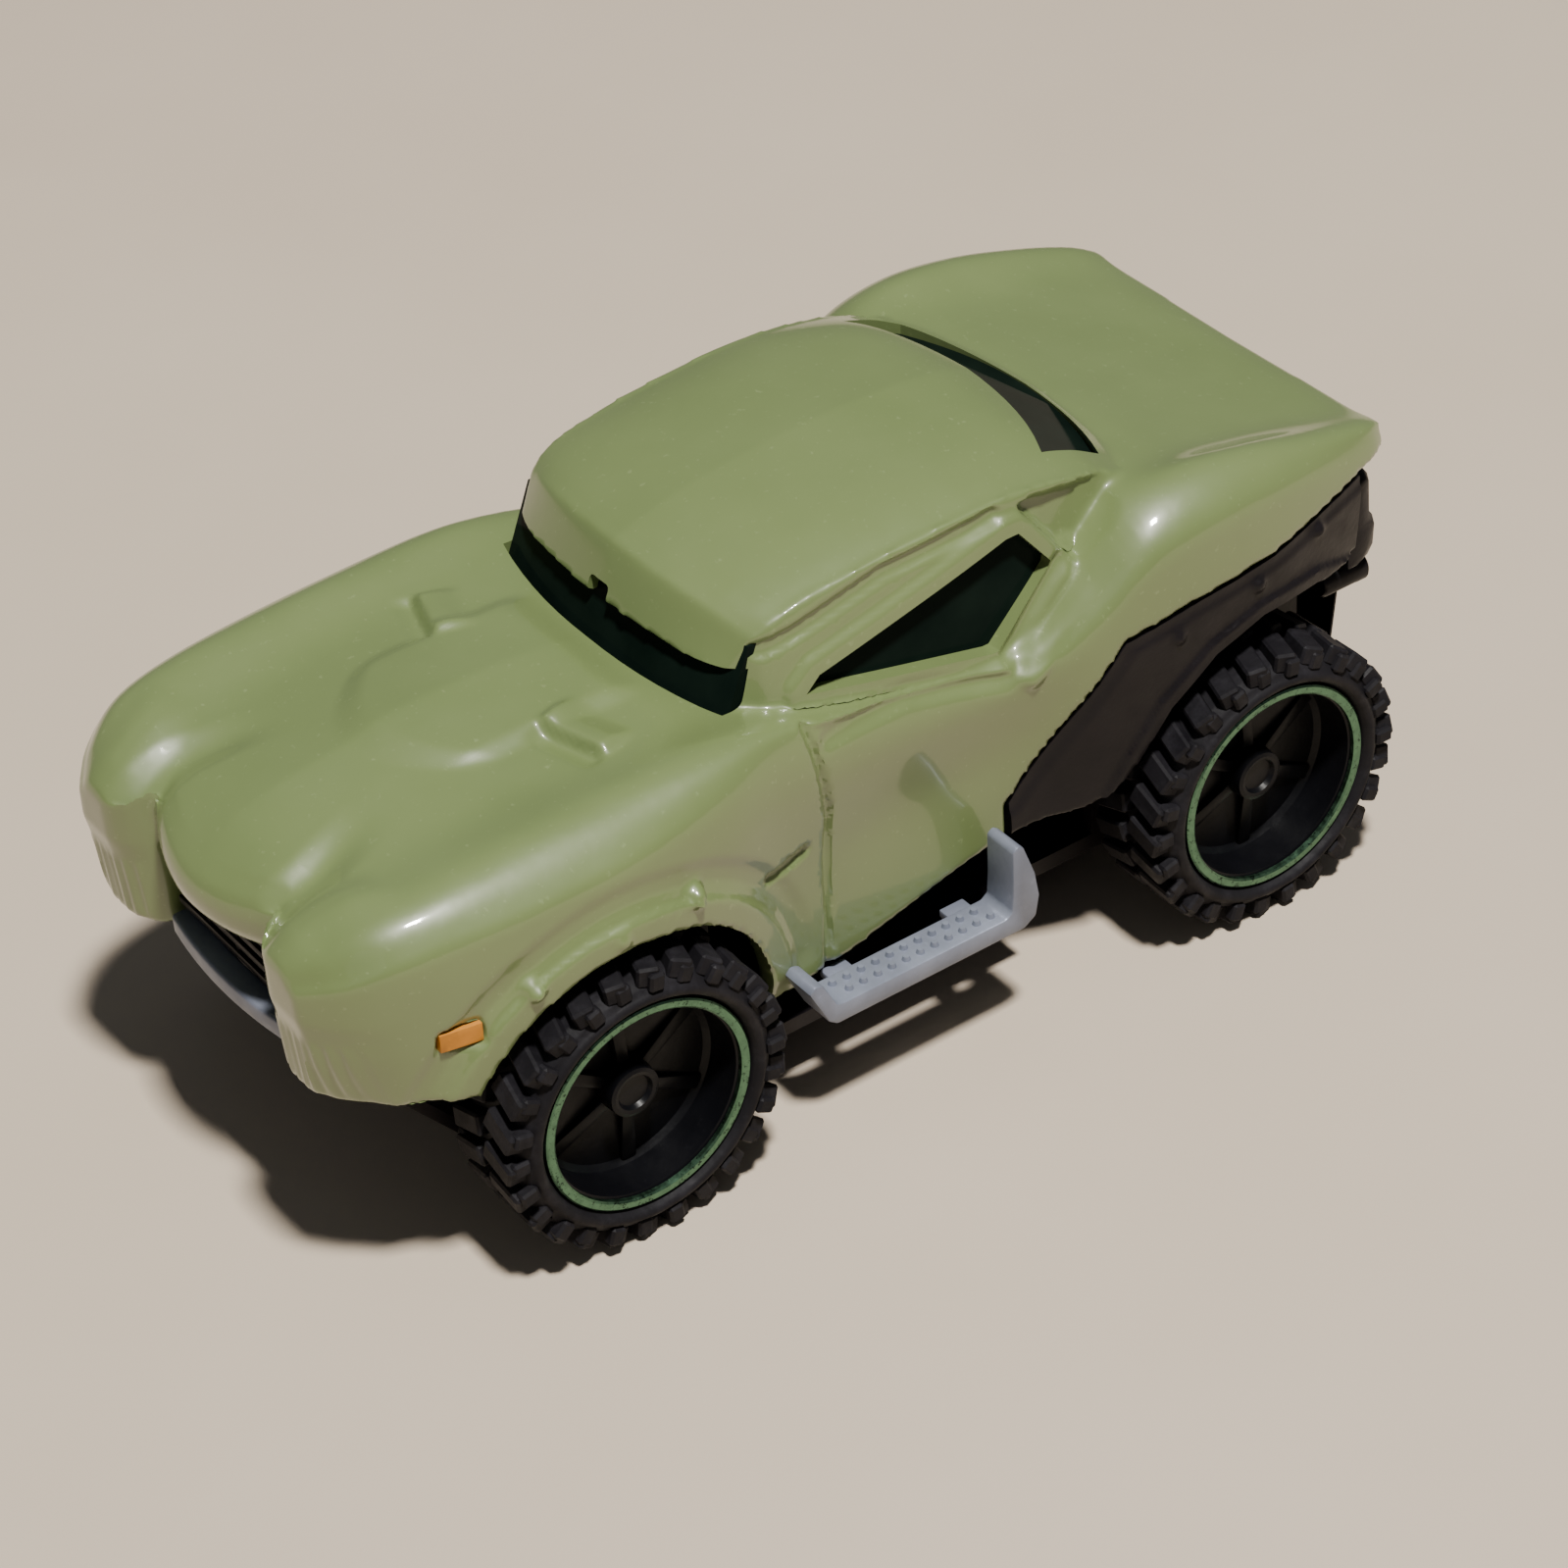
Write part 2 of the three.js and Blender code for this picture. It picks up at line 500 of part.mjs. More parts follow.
function makeRearBumper() {
  const shape = new THREE.Shape();
  const half = 12.4 + BODY_WIDEN;
  const back = along.tail(REAR_OVERHANG);
  const front = along.tail(8.8);
  shape.moveTo(-half, front);
  shape.lineTo(-half, back - 1.6);
  shape.quadraticCurveTo(-half, back - 0.5, -half + 1.8, back - 0.4);
  shape.quadraticCurveTo(0, back + 0.4, half - 1.8, back - 0.4);
  shape.quadraticCurveTo(half, back - 0.5, half, back - 1.6);
  shape.lineTo(half, front);
  const geometry = new THREE.ExtrudeGeometry(shape, {
    depth: 5.4, bevelEnabled: false, curveSegments: 6,
  });
  return solidOf(geometry.translate(0, 0, AXLE_Z + 8.2))
    .intersect(box(-FAR, FAR, 0, back, 0, FAR));
}
add('rear_bumper', makeRearBumper(), blackPlastic);

const TIP_Z = AXLE_Z + 7;
function makeTailPipe(x) {
  const y = along.tail(9.4);
  const tube = new THREE.CylinderGeometry(0.9, 0.9, 3.2, 16).translate(x, y, TIP_Z);
  const bore = new THREE.CylinderGeometry(0.55, 0.55, 2, 16).translate(x, y + 1.4, TIP_Z);
  return solidOf(tube).subtract(solidOf(bore));
}
add('tail_pipe_left', makeTailPipe(10.9), blackPlastic);
add('tail_pipe_right', makeTailPipe(-10.9), blackPlastic);

// ---------------------------------------------------------------- wheels
const BARREL_RADIUS = RING_RADIUS - SEAT_GAP;
const BARREL_FACE = WHEEL_FACE_X - 0.3 - RING_DEPTH;
const HUB_FACE = WHEEL_FACE_X - 0.3 - HUB_RECESS;

function makeTyre(y) {
  const inner = RING_RADIUS + SEAT_GAP;
  const r = TYRE_RADIUS;
  const face = WHEEL_FACE_X;
  const back = face - TYRE_WIDTH;
  return turnedX([[inner, back + 0.5], [inner + 0.9, back], [r - 0.9, back + 0.2], [r, back + 1],
    [r, face - 1], [r - 0.9, face - 0.2], [inner + 0.9, face], [inner, face - 0.5],
    [inner, back + 0.5]], y, AXLE_Z, 30);
}

function makeRim(y) {
  const back = WHEEL_FACE_X - TYRE_WIDTH + 0.6;
  const web = HUB_FACE - 1.1;
  const bore = AXLE_RADIUS + SEAT_GAP;
  const inside = BARREL_RADIUS - RIM_WALL;
  const dish = turnedX([[0, HUB_FACE], [HUB_RADIUS, HUB_FACE], [HUB_RADIUS, web + 0.3],
    [inside, web], [inside, BARREL_FACE], [BARREL_RADIUS, BARREL_FACE], [BARREL_RADIUS, back],
    [inside, back], [inside, web - 0.7], [HUB_RADIUS, web - 0.7], [HUB_RADIUS, back],
    [bore, back], [bore, HUB_FACE - 0.5], [0, HUB_FACE - 0.5]], y, AXLE_Z, 20);
  let rim = dish;
  for (let i = 0; i < SPOKE_COUNT; i++) {
    const angle = (i + 0.5) * 2 * Math.PI / SPOKE_COUNT;
    const reach = (HUB_RADIUS + inside) / 2 + 0.2;
    rim = rim.subtract(barX(0.95, web - 1.5, web + 1,
      y + reach * Math.cos(angle), AXLE_Z + reach * Math.sin(angle), 6));
  }
  return rim;
}

function makeRing(y) {
  const face = WHEEL_FACE_X - 0.3;
  const back = BARREL_FACE + SEAT_GAP;
  return turnedX([[RING_RADIUS, back], [RING_RADIUS, face], [RING_RADIUS - RING_WALL, face],
    [RING_RADIUS - RING_WALL, back], [RING_RADIUS, back]], y, AXLE_Z, 30);
}

for (const [end, y] of [['front', FRONT_AXLE_Y], ['rear', REAR_AXLE_Y]]) {
  const reach = HUB_FACE - 0.5 - SEAT_GAP;
  add(`${end}_axle`, barX(AXLE_RADIUS, -reach, reach, y, AXLE_Z, 20), steel);
  for (const [name, make, material] of [['rim', makeRim, blackPlastic],
    ['ring', makeRing, greenMetal], ['tyre', makeTyre, rubber]]) {
    const left = make(y);
    add(`${end}_${name}_left`, left, material);
    add(`${end}_${name}_right`, mirrorX(left), material);
  }
}

// ---------------------------------------------------------------- wind-up motor
const PINION_PITCH = GEAR_MODULE * PINION_TEETH / 2;
const WHEEL_PITCH = GEAR_MODULE * WHEEL_TEETH / 2;
const DRUM_PITCH = GEAR_MODULE * DRUM_TEETH / 2;
const FIRST_REACH = PINION_PITCH + WHEEL_PITCH;
const SECOND_REACH = PINION_PITCH + DRUM_PITCH;
// both big gears stand on the motor's floor, clear by the same gap
const shaftZ = (pitch) => BASE_TOP_Z + PART_GAP + MOTOR_WALL + pitch + GEAR_MODULE + PART_GAP;
const LAY_Z = shaftZ(WHEEL_PITCH);
const DRUM_Z = shaftZ(DRUM_PITCH);
const FIRST_LEAN = Math.asin((LAY_Z - AXLE_Z) / FIRST_REACH);
const LAY = { y: REAR_AXLE_Y - FIRST_REACH * Math.cos(FIRST_LEAN), z: LAY_Z };
const SECOND_LEAN = Math.asin((DRUM_Z - LAY.z) / SECOND_REACH);
const DRUM = { y: LAY.y - SECOND_REACH * Math.cos(SECOND_LEAN), z: DRUM_Z };
const PIN_RADIUS = 0.6;
const PINION_X = [1.5, 1.5 + GEAR_WIDTH + 0.4];
const WHEEL_X = [1.7, 1.7 + GEAR_WIDTH];
const LAY_PINION_X = [-1.1, WHEEL_X[0] + 0.2];
const DRUM_X = [-0.9, -0.9 + GEAR_WIDTH];

// a spur gear along X with a tooth pointing along angle `phase`, measured from +Y towards +Z
function gear(teeth, x0, x1, centre, phase) {
  const pitch = GEAR_MODULE * teeth / 2;
  const tip = pitch + 0.88 * GEAR_MODULE;
  const root = pitch - 1.15 * GEAR_MODULE;
  const halfAt = (radius, share) => (share * GEAR_MODULE * Math.PI / 4 - GEAR_LASH / 2) / radius;
  const outline = [];
  for (let i = 0; i < teeth; i++) {
    const mid = phase + i * 2 * Math.PI / teeth;
    for (const [radius, half] of [[root, -halfAt(root, 1.36)], [tip, -halfAt(tip, 0.5)],
      [tip, halfAt(tip, 0.5)], [root, halfAt(root, 1.36)]]) {
      outline.push([centre.y + radius * Math.cos(mid + half), centre.z + radius * Math.sin(mid + half)]);
    }
  }
  return slabX(outline, x0, x1);
}

const toLay = Math.atan2(LAY.z - AXLE_Z, LAY.y - REAR_AXLE_Y);
const toDrum = Math.atan2(DRUM.z - LAY.z, DRUM.y - LAY.y);
const halfTooth = (teeth) => Math.PI / teeth;
const axleCentre = { y: REAR_AXLE_Y, z: AXLE_Z };

const axlePinion = gear(PINION_TEETH, ...PINION_X, axleCentre, toLay)
  .add(barX(1.5, PINION_X[0] - 0.8, PINION_X[0] + 0.1, REAR_AXLE_Y, AXLE_Z, 20))
  .subtract(barX(AXLE_RADIUS + SEAT_GAP, -FAR, FAR, REAR_AXLE_Y, AXLE_Z, 24));
add('axle_pinion', axlePinion, brass);

const layWheel = gear(WHEEL_TEETH, ...WHEEL_X, LAY, toLay + Math.PI + halfTooth(WHEEL_TEETH));
const layPinion = gear(PINION_TEETH, ...LAY_PINION_X, LAY, toDrum);
add('layshaft_gear', layWheel.add(layPinion)
  .subtract(barX(PIN_RADIUS + RUN_GAP, -FAR, FAR, LAY.y, LAY.z, 14)), nylon);

const ARBOR_RADIUS = 1.3;
const inner = MOTOR_HALF_WIDTH - MOTOR_WALL;
const drumGear = gear(DRUM_TEETH, ...DRUM_X, DRUM, toDrum + Math.PI + halfTooth(DRUM_TEETH))
  .add(barX(ARBOR_RADIUS, -inner + PART_GAP, DRUM_X[0] + 0.1, DRUM.y, DRUM.z, 14))
  .subtract(barX(PIN_RADIUS + RUN_GAP, -FAR, FAR, DRUM.y, DRUM.z, 14));
add('drum_gear', drumGear, nylon);

for (const [name, centre] of [['layshaft_pin', LAY], ['drum_pin', DRUM]]) {
  const reach = MOTOR_HALF_WIDTH - 0.1;
  add(name, barX(PIN_RADIUS, -reach, reach, centre.y, centre.z, 14), steel);
}

// the mainspring: a flat strip wound in an open spiral round the arbor
function makeMainspring() {
  const x0 = -inner + PART_GAP + 0.1;
  const x1 = DRUM_X[0] - 0.35;
  const start = ARBOR_RADIUS + 0.35;
  const end = DRUM_PITCH - 0.4;
  const steps = SPRING_TURNS * 14;
  const at = (n, offset) => {
    const angle = n / 14 * 2 * Math.PI;
    const radius = start + (end - start) * n / steps + offset;
    return [DRUM.y + radius * Math.cos(angle), DRUM.z + radius * Math.sin(angle)];
  };
  const outline = [];
  for (let n = 0; n <= steps; n++) outline.push(at(n, SPRING_STRIP));
  for (let n = steps; n >= 0; n--) outline.push(at(n, 0));
  return slabX(outline, x0, x1);
}
add('mainspring', makeMainspring(), springSteel);

// the case follows the gears: an open box with a flat cover on the car's left
const CASE_LOW = BASE_TOP_Z + PART_GAP;
function caseOutline(margin) {
  const arc = (centre, radius, from, to, count) => {
    const points = [];
    for (let i = 0; i <= count; i++) {
      const a = from + (to - from) * i / count;
      points.push([centre.y + radius * Math.cos(a), centre.z + radius * Math.sin(a)]);
    }
    return points;
  };
  const drumRadius = DRUM_PITCH + GEAR_MODULE + PART_GAP + margin;
  const layRadius = WHEEL_PITCH + GEAR_MODULE + PART_GAP + margin;
  const axleRadius = PINION_PITCH + GEAR_MODULE + PART_GAP + margin;
  const low = CASE_LOW + MOTOR_WALL - margin;
  return [
    [DRUM.y, low],
    [REAR_AXLE_Y + axleRadius, low],
    ...arc(axleCentre, axleRadius, 0, 1.2, 3),
    ...arc(LAY, layRadius, 0.2, 1.9, 7),
    ...arc(DRUM, drumRadius, 1.7, 1.5 * Math.PI - 0.05, 12),
  ];
}
const SCREWS = [
  { y: DRUM.y - DRUM_PITCH - 1.6, z: CASE_LOW + 1.5 },
  { y: LAY.y + 0.5, z: LAY.z + WHEEL_PITCH + 2.4 },
];
const SCREW_RADIUS = 0.55;
const COVER_X = MOTOR_HALF_WIDTH - MOTOR_WALL;
function lugs(x0, x1) {
  const [low, high] = SCREWS;
  return box(x0, x1, low.y - 1.4, DRUM.y, CASE_LOW, CASE_LOW + 2.9)
    .add(box(x0, x1, high.y - 1.4, high.y + 1.4, LAY.z, high.z + 1.4));
}
function motorHoles(solid) {
  let drilled = solid.subtract(barX(AXLE_HOLE, -FAR, FAR, REAR_AXLE_Y, AXLE_Z, 24));
  for (const { y, z } of [LAY, DRUM]) {
    drilled = drilled.subtract(barX(PIN_RADIUS + SEAT_GAP, -FAR, FAR, y, z, 14));
  }
  for (const { y, z } of SCREWS) {
    drilled = drilled.subtract(barX(SCREW_RADIUS + SEAT_GAP, -1.5, FAR, y, z, 12));
  }
  return drilled;
}
const caseEnd = COVER_X - SEAT_GAP;
const cavity = slabX(caseOutline(0), -inner, FAR);
const caseBody = slabX(caseOutline(MOTOR_WALL), -MOTOR_HALF_WIDTH, caseEnd)
  .add(lugs(-2.5, caseEnd)).subtract(cavity);
add('motor_case', motorHoles(caseBody), motorPlastic);
const cover = slabX(caseOutline(MOTOR_WALL), COVER_X, MOTOR_HALF_WIDTH)
  .add(lugs(COVER_X, MOTOR_HALF_WIDTH));
add('motor_cover', motorHoles(cover), motorPlastic);
SCREWS.forEach(({ y, z }, i) => {
  const screw = barX(SCREW_RADIUS, -1.2, MOTOR_HALF_WIDTH + SEAT_GAP, y, z, 12)
    .add(barX(1, MOTOR_HALF_WIDTH + SEAT_GAP, MOTOR_HALF_WIDTH + 0.7, y, z, 12));
  add(['motor_screw_front', 'motor_screw_rear'][i], screw, steel);
});

export default group;
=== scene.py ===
"""A pocket pull back car: a die-cast off-road coupe on knobbly tyres, with smoked windows,
black flares, side steps and a wind-up motor on the rear axle.

Shapes are worked in millimetres in the frame's own place and scaled to metres when a piece
is finished. The nose points along -Y, the car's left side is +X and the ground is at Z 0.
"""

import json
import math

import bmesh
import bpy
import numpy as np
from mathutils import Matrix, Vector


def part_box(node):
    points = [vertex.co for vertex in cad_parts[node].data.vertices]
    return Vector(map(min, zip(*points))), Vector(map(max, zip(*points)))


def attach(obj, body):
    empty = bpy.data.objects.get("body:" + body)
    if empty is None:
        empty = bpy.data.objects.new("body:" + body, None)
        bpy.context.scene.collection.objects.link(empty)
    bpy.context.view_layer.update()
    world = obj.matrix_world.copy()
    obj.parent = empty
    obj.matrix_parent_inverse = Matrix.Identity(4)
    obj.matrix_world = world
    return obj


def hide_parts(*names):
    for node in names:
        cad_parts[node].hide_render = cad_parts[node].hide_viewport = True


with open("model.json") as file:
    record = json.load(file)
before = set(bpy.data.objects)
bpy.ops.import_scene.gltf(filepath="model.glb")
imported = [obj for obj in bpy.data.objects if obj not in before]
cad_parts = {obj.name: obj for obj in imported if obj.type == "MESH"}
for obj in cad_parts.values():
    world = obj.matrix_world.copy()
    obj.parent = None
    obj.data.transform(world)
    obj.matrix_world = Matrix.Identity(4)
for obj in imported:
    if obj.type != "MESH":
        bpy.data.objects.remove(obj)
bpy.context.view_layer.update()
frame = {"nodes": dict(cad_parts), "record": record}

# ---------------------------------------------------------------- sizes, read off the frame
MM = 0.001
FAR = 60.0                      # further out than any part of the car
RECORD = frame["record"]
HOME = {n: body for body, nodes in RECORD["behaviour"]["bodies"].items() for n in nodes}
SLOT = {part["node"]: part["material_slot"] for part in RECORD["subparts"]}


def low(node):
    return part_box(node)[0] / MM


def high(node):
    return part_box(node)[1] / MM


def middle(node):
    return (low(node) + high(node)) / 2


FRONT_AXLE_Y = middle("front_axle").y
REAR_AXLE_Y = middle("rear_axle").y
AXLE_Z = middle("front_axle").z
AXLE_RADIUS = high("front_axle").z - AXLE_Z
WHEELBASE = REAR_AXLE_Y - FRONT_AXLE_Y
TYRE_RADIUS = high("front_tyre_left").z - AXLE_Z
TYRE_FACE = high("front_tyre_left").x
TYRE_BACK = low("front_tyre_left").x
RING_FACE = high("front_ring_left").x
RING_BACK = low("front_ring_left").x
RING_RADIUS = high("front_ring_left").z - AXLE_Z
RIM_BACK = low("front_rim_left").x
HUB_FACE = TYRE_FACE - 1.6
FRONT_OVERHANG = FRONT_AXLE_Y - low("body_shell").y
BASE_UNDER = low("chassis_base").z
BASE_HALF = 9.8                 # chassis half width between the wheels
WALL = 1.2                      # the casting's wall
ARCH_RADIUS = TYRE_RADIUS + 1.15
GAP = 0.3                       # room between two pieces that don't touch
BODY_RINGS, BODY_SPAN = 110, 9  # how finely the body's outside is lofted
SPACE_RINGS, SPACE_SPAN = 36, 4  # and the space inside it
BODY_VOXEL, BODY_ROUNDS = 0.2, 6
FLARE_VOXEL, FLARE_ROUNDS = 0.17, 3
MOST_TRIANGLES = 190000         # in the body's finished mesh
LUGS = 26                       # in each of a tyre's two rows
SPOKES = 6
SPACE_FLOOR = -6.6              # the space inside runs on below the sill


def nose(d):
    return FRONT_AXLE_Y + d


def tail(d):
    return REAR_AXLE_Y + d


def door(share):
    return FRONT_AXLE_Y + share * WHEELBASE


# Sections along the car: place, then the half section's points as half width and height above
# the axles. The middle is a height alone.
BODY_SECTIONS = [
    # place                mid   fold         ridge         side          waist         sill
    (nose(-FRONT_OVERHANG), 12.2, 6.2, 12.4, 9.4, 13.1, 10.9, 11.6, 10.9, 8.0, 10.2, 5.0),
    (nose(-14.3), 13.6, 6.6, 13.5, 10.9, 14.4, 12.9, 12.1, 12.8, 8.0, 12.1, 4.7),
    (nose(-12), 14.9, 7.2, 14.5, 11.9, 15.7, 14.3, 12.4, 14.2, 8.4, 13.8, 4.6),
    (nose(-8.5), 15.7, 7.6, 15.1, 12.4, 16.4, 15.1, 12.6, 15.1, 9.0, 14.9, 4.4),
    (nose(-3.5), 16.3, 7.9, 15.6, 12.6, 16.9, 15.6, 12.9, 15.7, 9.6, 15.5, 3.0),
    (nose(2), 16.4, 8.2, 15.8, 12.7, 17.1, 15.6, 13.0, 15.7, 9.8, 15.4, 1.5),
    (nose(7.5), 16.1, 8.6, 15.9, 12.7, 17.0, 14.9, 12.8, 14.6, 8.0, 14.3, 0.2),
    (nose(11.5), 15.8, 9.0, 15.8, 12.5, 16.4, 14.0, 12.4, 13.4, 6.6, 13.2, -0.6),
    (door(0.4), 15.2, 8.6, 15.0, 12.2, 15.2, 13.4, 12.0, 12.6, 6.4, 12.8, -0.2),
    (door(0.56), 14.6, 8.6, 14.2, 12.1, 13.9, 13.2, 11.6, 12.4, 6.8, 12.7, 1.4),
    (tail(-14), 15.6, 8.8, 14.8, 12.4, 14.1, 13.9, 12.0, 13.2, 7.6, 13.0, 2.2),
    (tail(-10.4), 18.0, 9.0, 17.6, 12.6, 17.0, 14.9, 13.6, 14.8, 9.4, 14.5, 3.0),
    (tail(-7), 19.5, 9.2, 19.5, 12.7, 19.9, 15.4, 15.4, 15.4, 11.2, 15.2, 6.4),
    (tail(-3), 19.2, 9.2, 19.4, 12.8, 20.8, 15.6, 16.0, 15.6, 12.8, 15.4, 9.6),
    (tail(1.5), 18.4, 9.2, 18.6, 12.9, 20.2, 15.3, 16.0, 15.3, 13.0, 15.0, 10.2),
    (tail(6), 17.6, 9.2, 17.8, 12.8, 18.9, 14.5, 15.6, 14.4, 13.0, 14.2, 10.4),
    (tail(9.4), 17.1, 9.1, 17.2, 12.4, 17.8, 13.6, 15.4, 13.5, 13.0, 13.2, 10.6),
    (tail(11), 16.6, 9.0, 16.7, 11.9, 17.0, 12.7, 15.2, 12.6, 13.0, 12.4, 10.8),
]
SHOULDER_INSET = 0.45


def shouldered(row):
    """A body section with a crisp shoulder put in between its ridge and its side."""
    ridge_x, ridge_z, side_x = row[4:7]
    drop = (side_x - SHOULDER_INSET - ridge_x) / 1.12
    shoulder = (side_x - SHOULDER_INSET, ridge_z - drop - 0.15)
    return row[:5] + (ridge_z - 0.35 * drop,) + shoulder + row[6:]


BODY_SECTIONS = [shouldered(row) for row in BODY_SECTIONS]
CABIN_SECTIONS = [
    # place      top   crown      edge        rail        belt
    (nose(9.6), 18.3, 6.0, 18.1, 8.8, 17.7, 9.4, 17.1, 10.4, 14.6),
    (nose(10.8), 20.9, 6.2, 20.4, 9.4, 19.5, 10.1, 18.8, 11.2, 14.4),
    (nose(11.4), 21.3, 6.3, 20.8, 9.7, 20.0, 10.4, 19.3, 11.4, 14.4),
    (nose(13), 21.8, 6.5, 21.3, 10.0, 20.6, 10.7, 19.9, 11.6, 14.4),
    (nose(17), 22.6, 6.7, 22.1, 10.2, 21.3, 10.9, 20.6, 11.9, 14.0),
    (door(0.55), 23.1, 6.8, 22.6, 10.4, 21.8, 11.1, 21.1, 12.1, 13.4),
    (tail(-14), 23.1, 6.8, 22.6, 10.4, 21.9, 11.1, 21.1, 12.2, 13.4),
    (tail(-10), 22.8, 6.6, 22.4, 10.3, 21.4, 11.0, 20.7, 12.3, 14.0),
    (tail(-7.6), 22.1, 6.4, 21.7, 10.1, 20.9, 10.9, 20.2, 12.2, 15.0),
    (tail(-5.9), 21.1, 6.2, 20.8, 9.8, 20.3, 10.7, 19.7, 11.8, 15.0),
    (tail(-2.6), 18.8, 5.8, 18.7, 9.0, 18.6, 10.0, 18.1, 11.0, 15.0),
]
CABIN_ROOT = 12.0

# Outlines on the body's side: along the car, and height above the axles.
SIDE_WINDOW = [(nose(14.4), 16.2), (nose(15.3), 17.0), (door(0.66), 19.9), (door(0.68), 19.9),
               (tail(-11.4), 17.5), (tail(-11.5), 17.2), (tail(-15.4), 13.9), (tail(-15.8), 13.9)]
QUARTER_RECESS = [(tail(-13.1), 21.3), (tail(-5.8), 20.3), (tail(-9.9), 17.0)]
FLARE_TOP = [(tail(-15.2), 4.0), (tail(-12.2), 8.4), (tail(-9), 12.8), (tail(-4.2), 13.7),
             (tail(1), 14.1), (tail(5.2), 14.9), (tail(8.2), 15.4)]
FLARE_ARCH = [(tail(8.2), 9.4), (tail(4.4), 10.7), (tail(0), 10.9), (tail(-3.4), 10.0),
              (tail(-6.4), 7.8), (tail(-8.4), 5.0), (tail(-10.2), 1.6)]
DOOR_LINE = [(nose(13.2), 15.4), (nose(13.8), 12.4), (nose(14.3), 9.6), (nose(14.2), 4.5),
             (nose(13.9), -1.6)]
ROOF_RAIL = [(nose(12.6), 19.0), (nose(20), 20.75), (nose(27), 21.2)]
HAUNCH_EDGE = [(nose(27.2), 12.4), (nose(28.9), 14.6), (nose(31.6), 17.4)]
HAUNCH_GROOVE = [(nose(26.6), 13.4), (nose(28.3), 15.2), (nose(30.6), 17.4)]
BELT_LINE = [(nose(14.5), 14.2), (nose(20), 14.1), (nose(25.8), 12.6)]
SIDE_VENT = [(nose(10.2), 7.6), (nose(12.6), 8.0)]
GRILLE_HALF = 6.3
GRILLE_TOP = 9.9
BONNET_TIP = 15.7               # the bonnet's lip ahead of the front axle, on the middle line
BONNET_SWEEP = 1.9              # how much further back the lip is at the wings


# ---------------------------------------------------------------- mesh helpers
def spline(points, count):
    """count + 1 rows on the smooth curve through the rows of points."""
    rows = np.asarray(points, float)
    last = len(rows) - 1
    made = []
    for n in range(count + 1):
        at = n / count * last
        i = min(int(at), last - 1)
        t = at - i
        before, after = rows[max(i - 1, 0)], rows[min(i + 2, last)]
        start, end = rows[i], rows[i + 1]
        leave, arrive = (end - before) / 2, (after - start) / 2
        made.append((2 * start - 2 * end + leave + arrive) * t ** 3
                    + (3 * end - 3 * start - 2 * leave - arrive) * t ** 2 + leave * t + start)
    return made


def ring_outline(half, per_span, inset, floor):
    """One closed section: the smooth half section, down to its floor, and its mirror image."""
    shrunk = [(max(x - inset, 0.0), z - (inset if i < len(half) - 1 else 0.0))
              for i, (x, z) in enumerate(half)]
    side = [(x, z) for x, z in spline(shrunk, (len(half) - 1) * per_span)]
    side[0] = (0.0, side[0][1])
    side.append((side[-1][0], floor))
    return side + [(-x, z) for x, z in reversed(side[1:])]


def lofted(rings):
    """A closed solid through rings that have the same number of points."""
    bm = bmesh.new()
    loops = []
    for ring in rings:
        verts = [bm.verts.new(place) for place in ring]
        loops.append([bm.edges.new(pair) for pair in zip(verts, verts[1:] + verts[:1])])
    for ahead, behind in zip(loops, loops[1:]):
        bmesh.ops.bridge_loops(bm, edges=ahead + behind)
    for end in (loops[0], loops[-1]):
        bmesh.ops.contextual_create(bm, geom=end)
    bmesh.ops.recalc_face_normals(bm, faces=bm.faces)
    return bm


def skin(sections, count, per_span, inset=0.0, floor=None):
    """A closed loft over the sections, drawn in by inset all round."""
    rows = spline(sections, count)
    first, last = rows[0][0], rows[-1][0]
    rings = []
    for row in rows:
        y = first + inset + (row[0] - first) * (last - first - 2 * inset) / (last - first)
        half = [(0.0, row[1])] + list(zip(row[2::2], row[3::2]))
        outline = ring_outline(half, per_span, inset, row[-1] if floor is None else floor)
        rings.append([(x, y, z + AXLE_Z) for x, z in outline])
    return lofted(rings)


def cabin(count, per_span, inset, floor):
    """The cabin's loft, its front and back faces swept round in plan."""
    bm = skin(CABIN_SECTIONS, count, per_span, inset, floor)
    for v in bm.verts:
        share = min(abs(v.co.x) / 10.4, 1) ** 2
        ahead = float(ease(nose(16), nose(9.8), v.co.y))
        behind = float(ease(tail(-12), tail(-5), v.co.y))
        v.co.y += share * (1.5 * ahead - 0.6 * behind)
    return bm


def even_places(steps):
    """steps + 1 even places from -1 on the right to 1 on the left."""
    return [2 * i / steps - 1 for i in range(steps + 1)]


def raised(outline):
    """An outline whose heights count from the axles, counted from the ground."""
    return [(y, z + AXLE_Z) for y, z in outline]


def prism(outline, axis, start, stop):
    """A straight solid with this outline, running along one axis from start to stop."""
    place = {"X": lambda a, b: (start, a, b), "Y": lambda a, b: (a, start, b),
             "Z": lambda a, b: (a, b, start)}[axis]
    bm = bmesh.new()
    face = bm.faces.new([bm.verts.new(place(a, b)) for a, b in outline])
    grown = bmesh.ops.extrude_face_region(bm, geom=[face])["geom"]
    run = Vector([(stop - start) * (axis == letter) for letter in "XYZ"])
    bmesh.ops.translate(bm, verts=[g for g in grown if isinstance(g, bmesh.types.BMVert)], vec=run)
    bmesh.ops.recalc_face_normals(bm, faces=bm.faces)
    return bm


def block(x, y, z, bevel=0.0, segments=2):
    """A box between pairs of limits, with its edges rounded."""
    bm = bmesh.new()
    bmesh.ops.create_cube(bm, size=1)
    bmesh.ops.scale(bm, vec=(x[1] - x[0], y[1] - y[0], z[1] - z[0]), verts=bm.verts)
    bmesh.ops.translate(bm, vec=(sum(x) / 2, sum(y) / 2, sum(z) / 2), verts=bm.verts)
    if bevel:
        round_edges(bm, bevel, segments)
    return bm


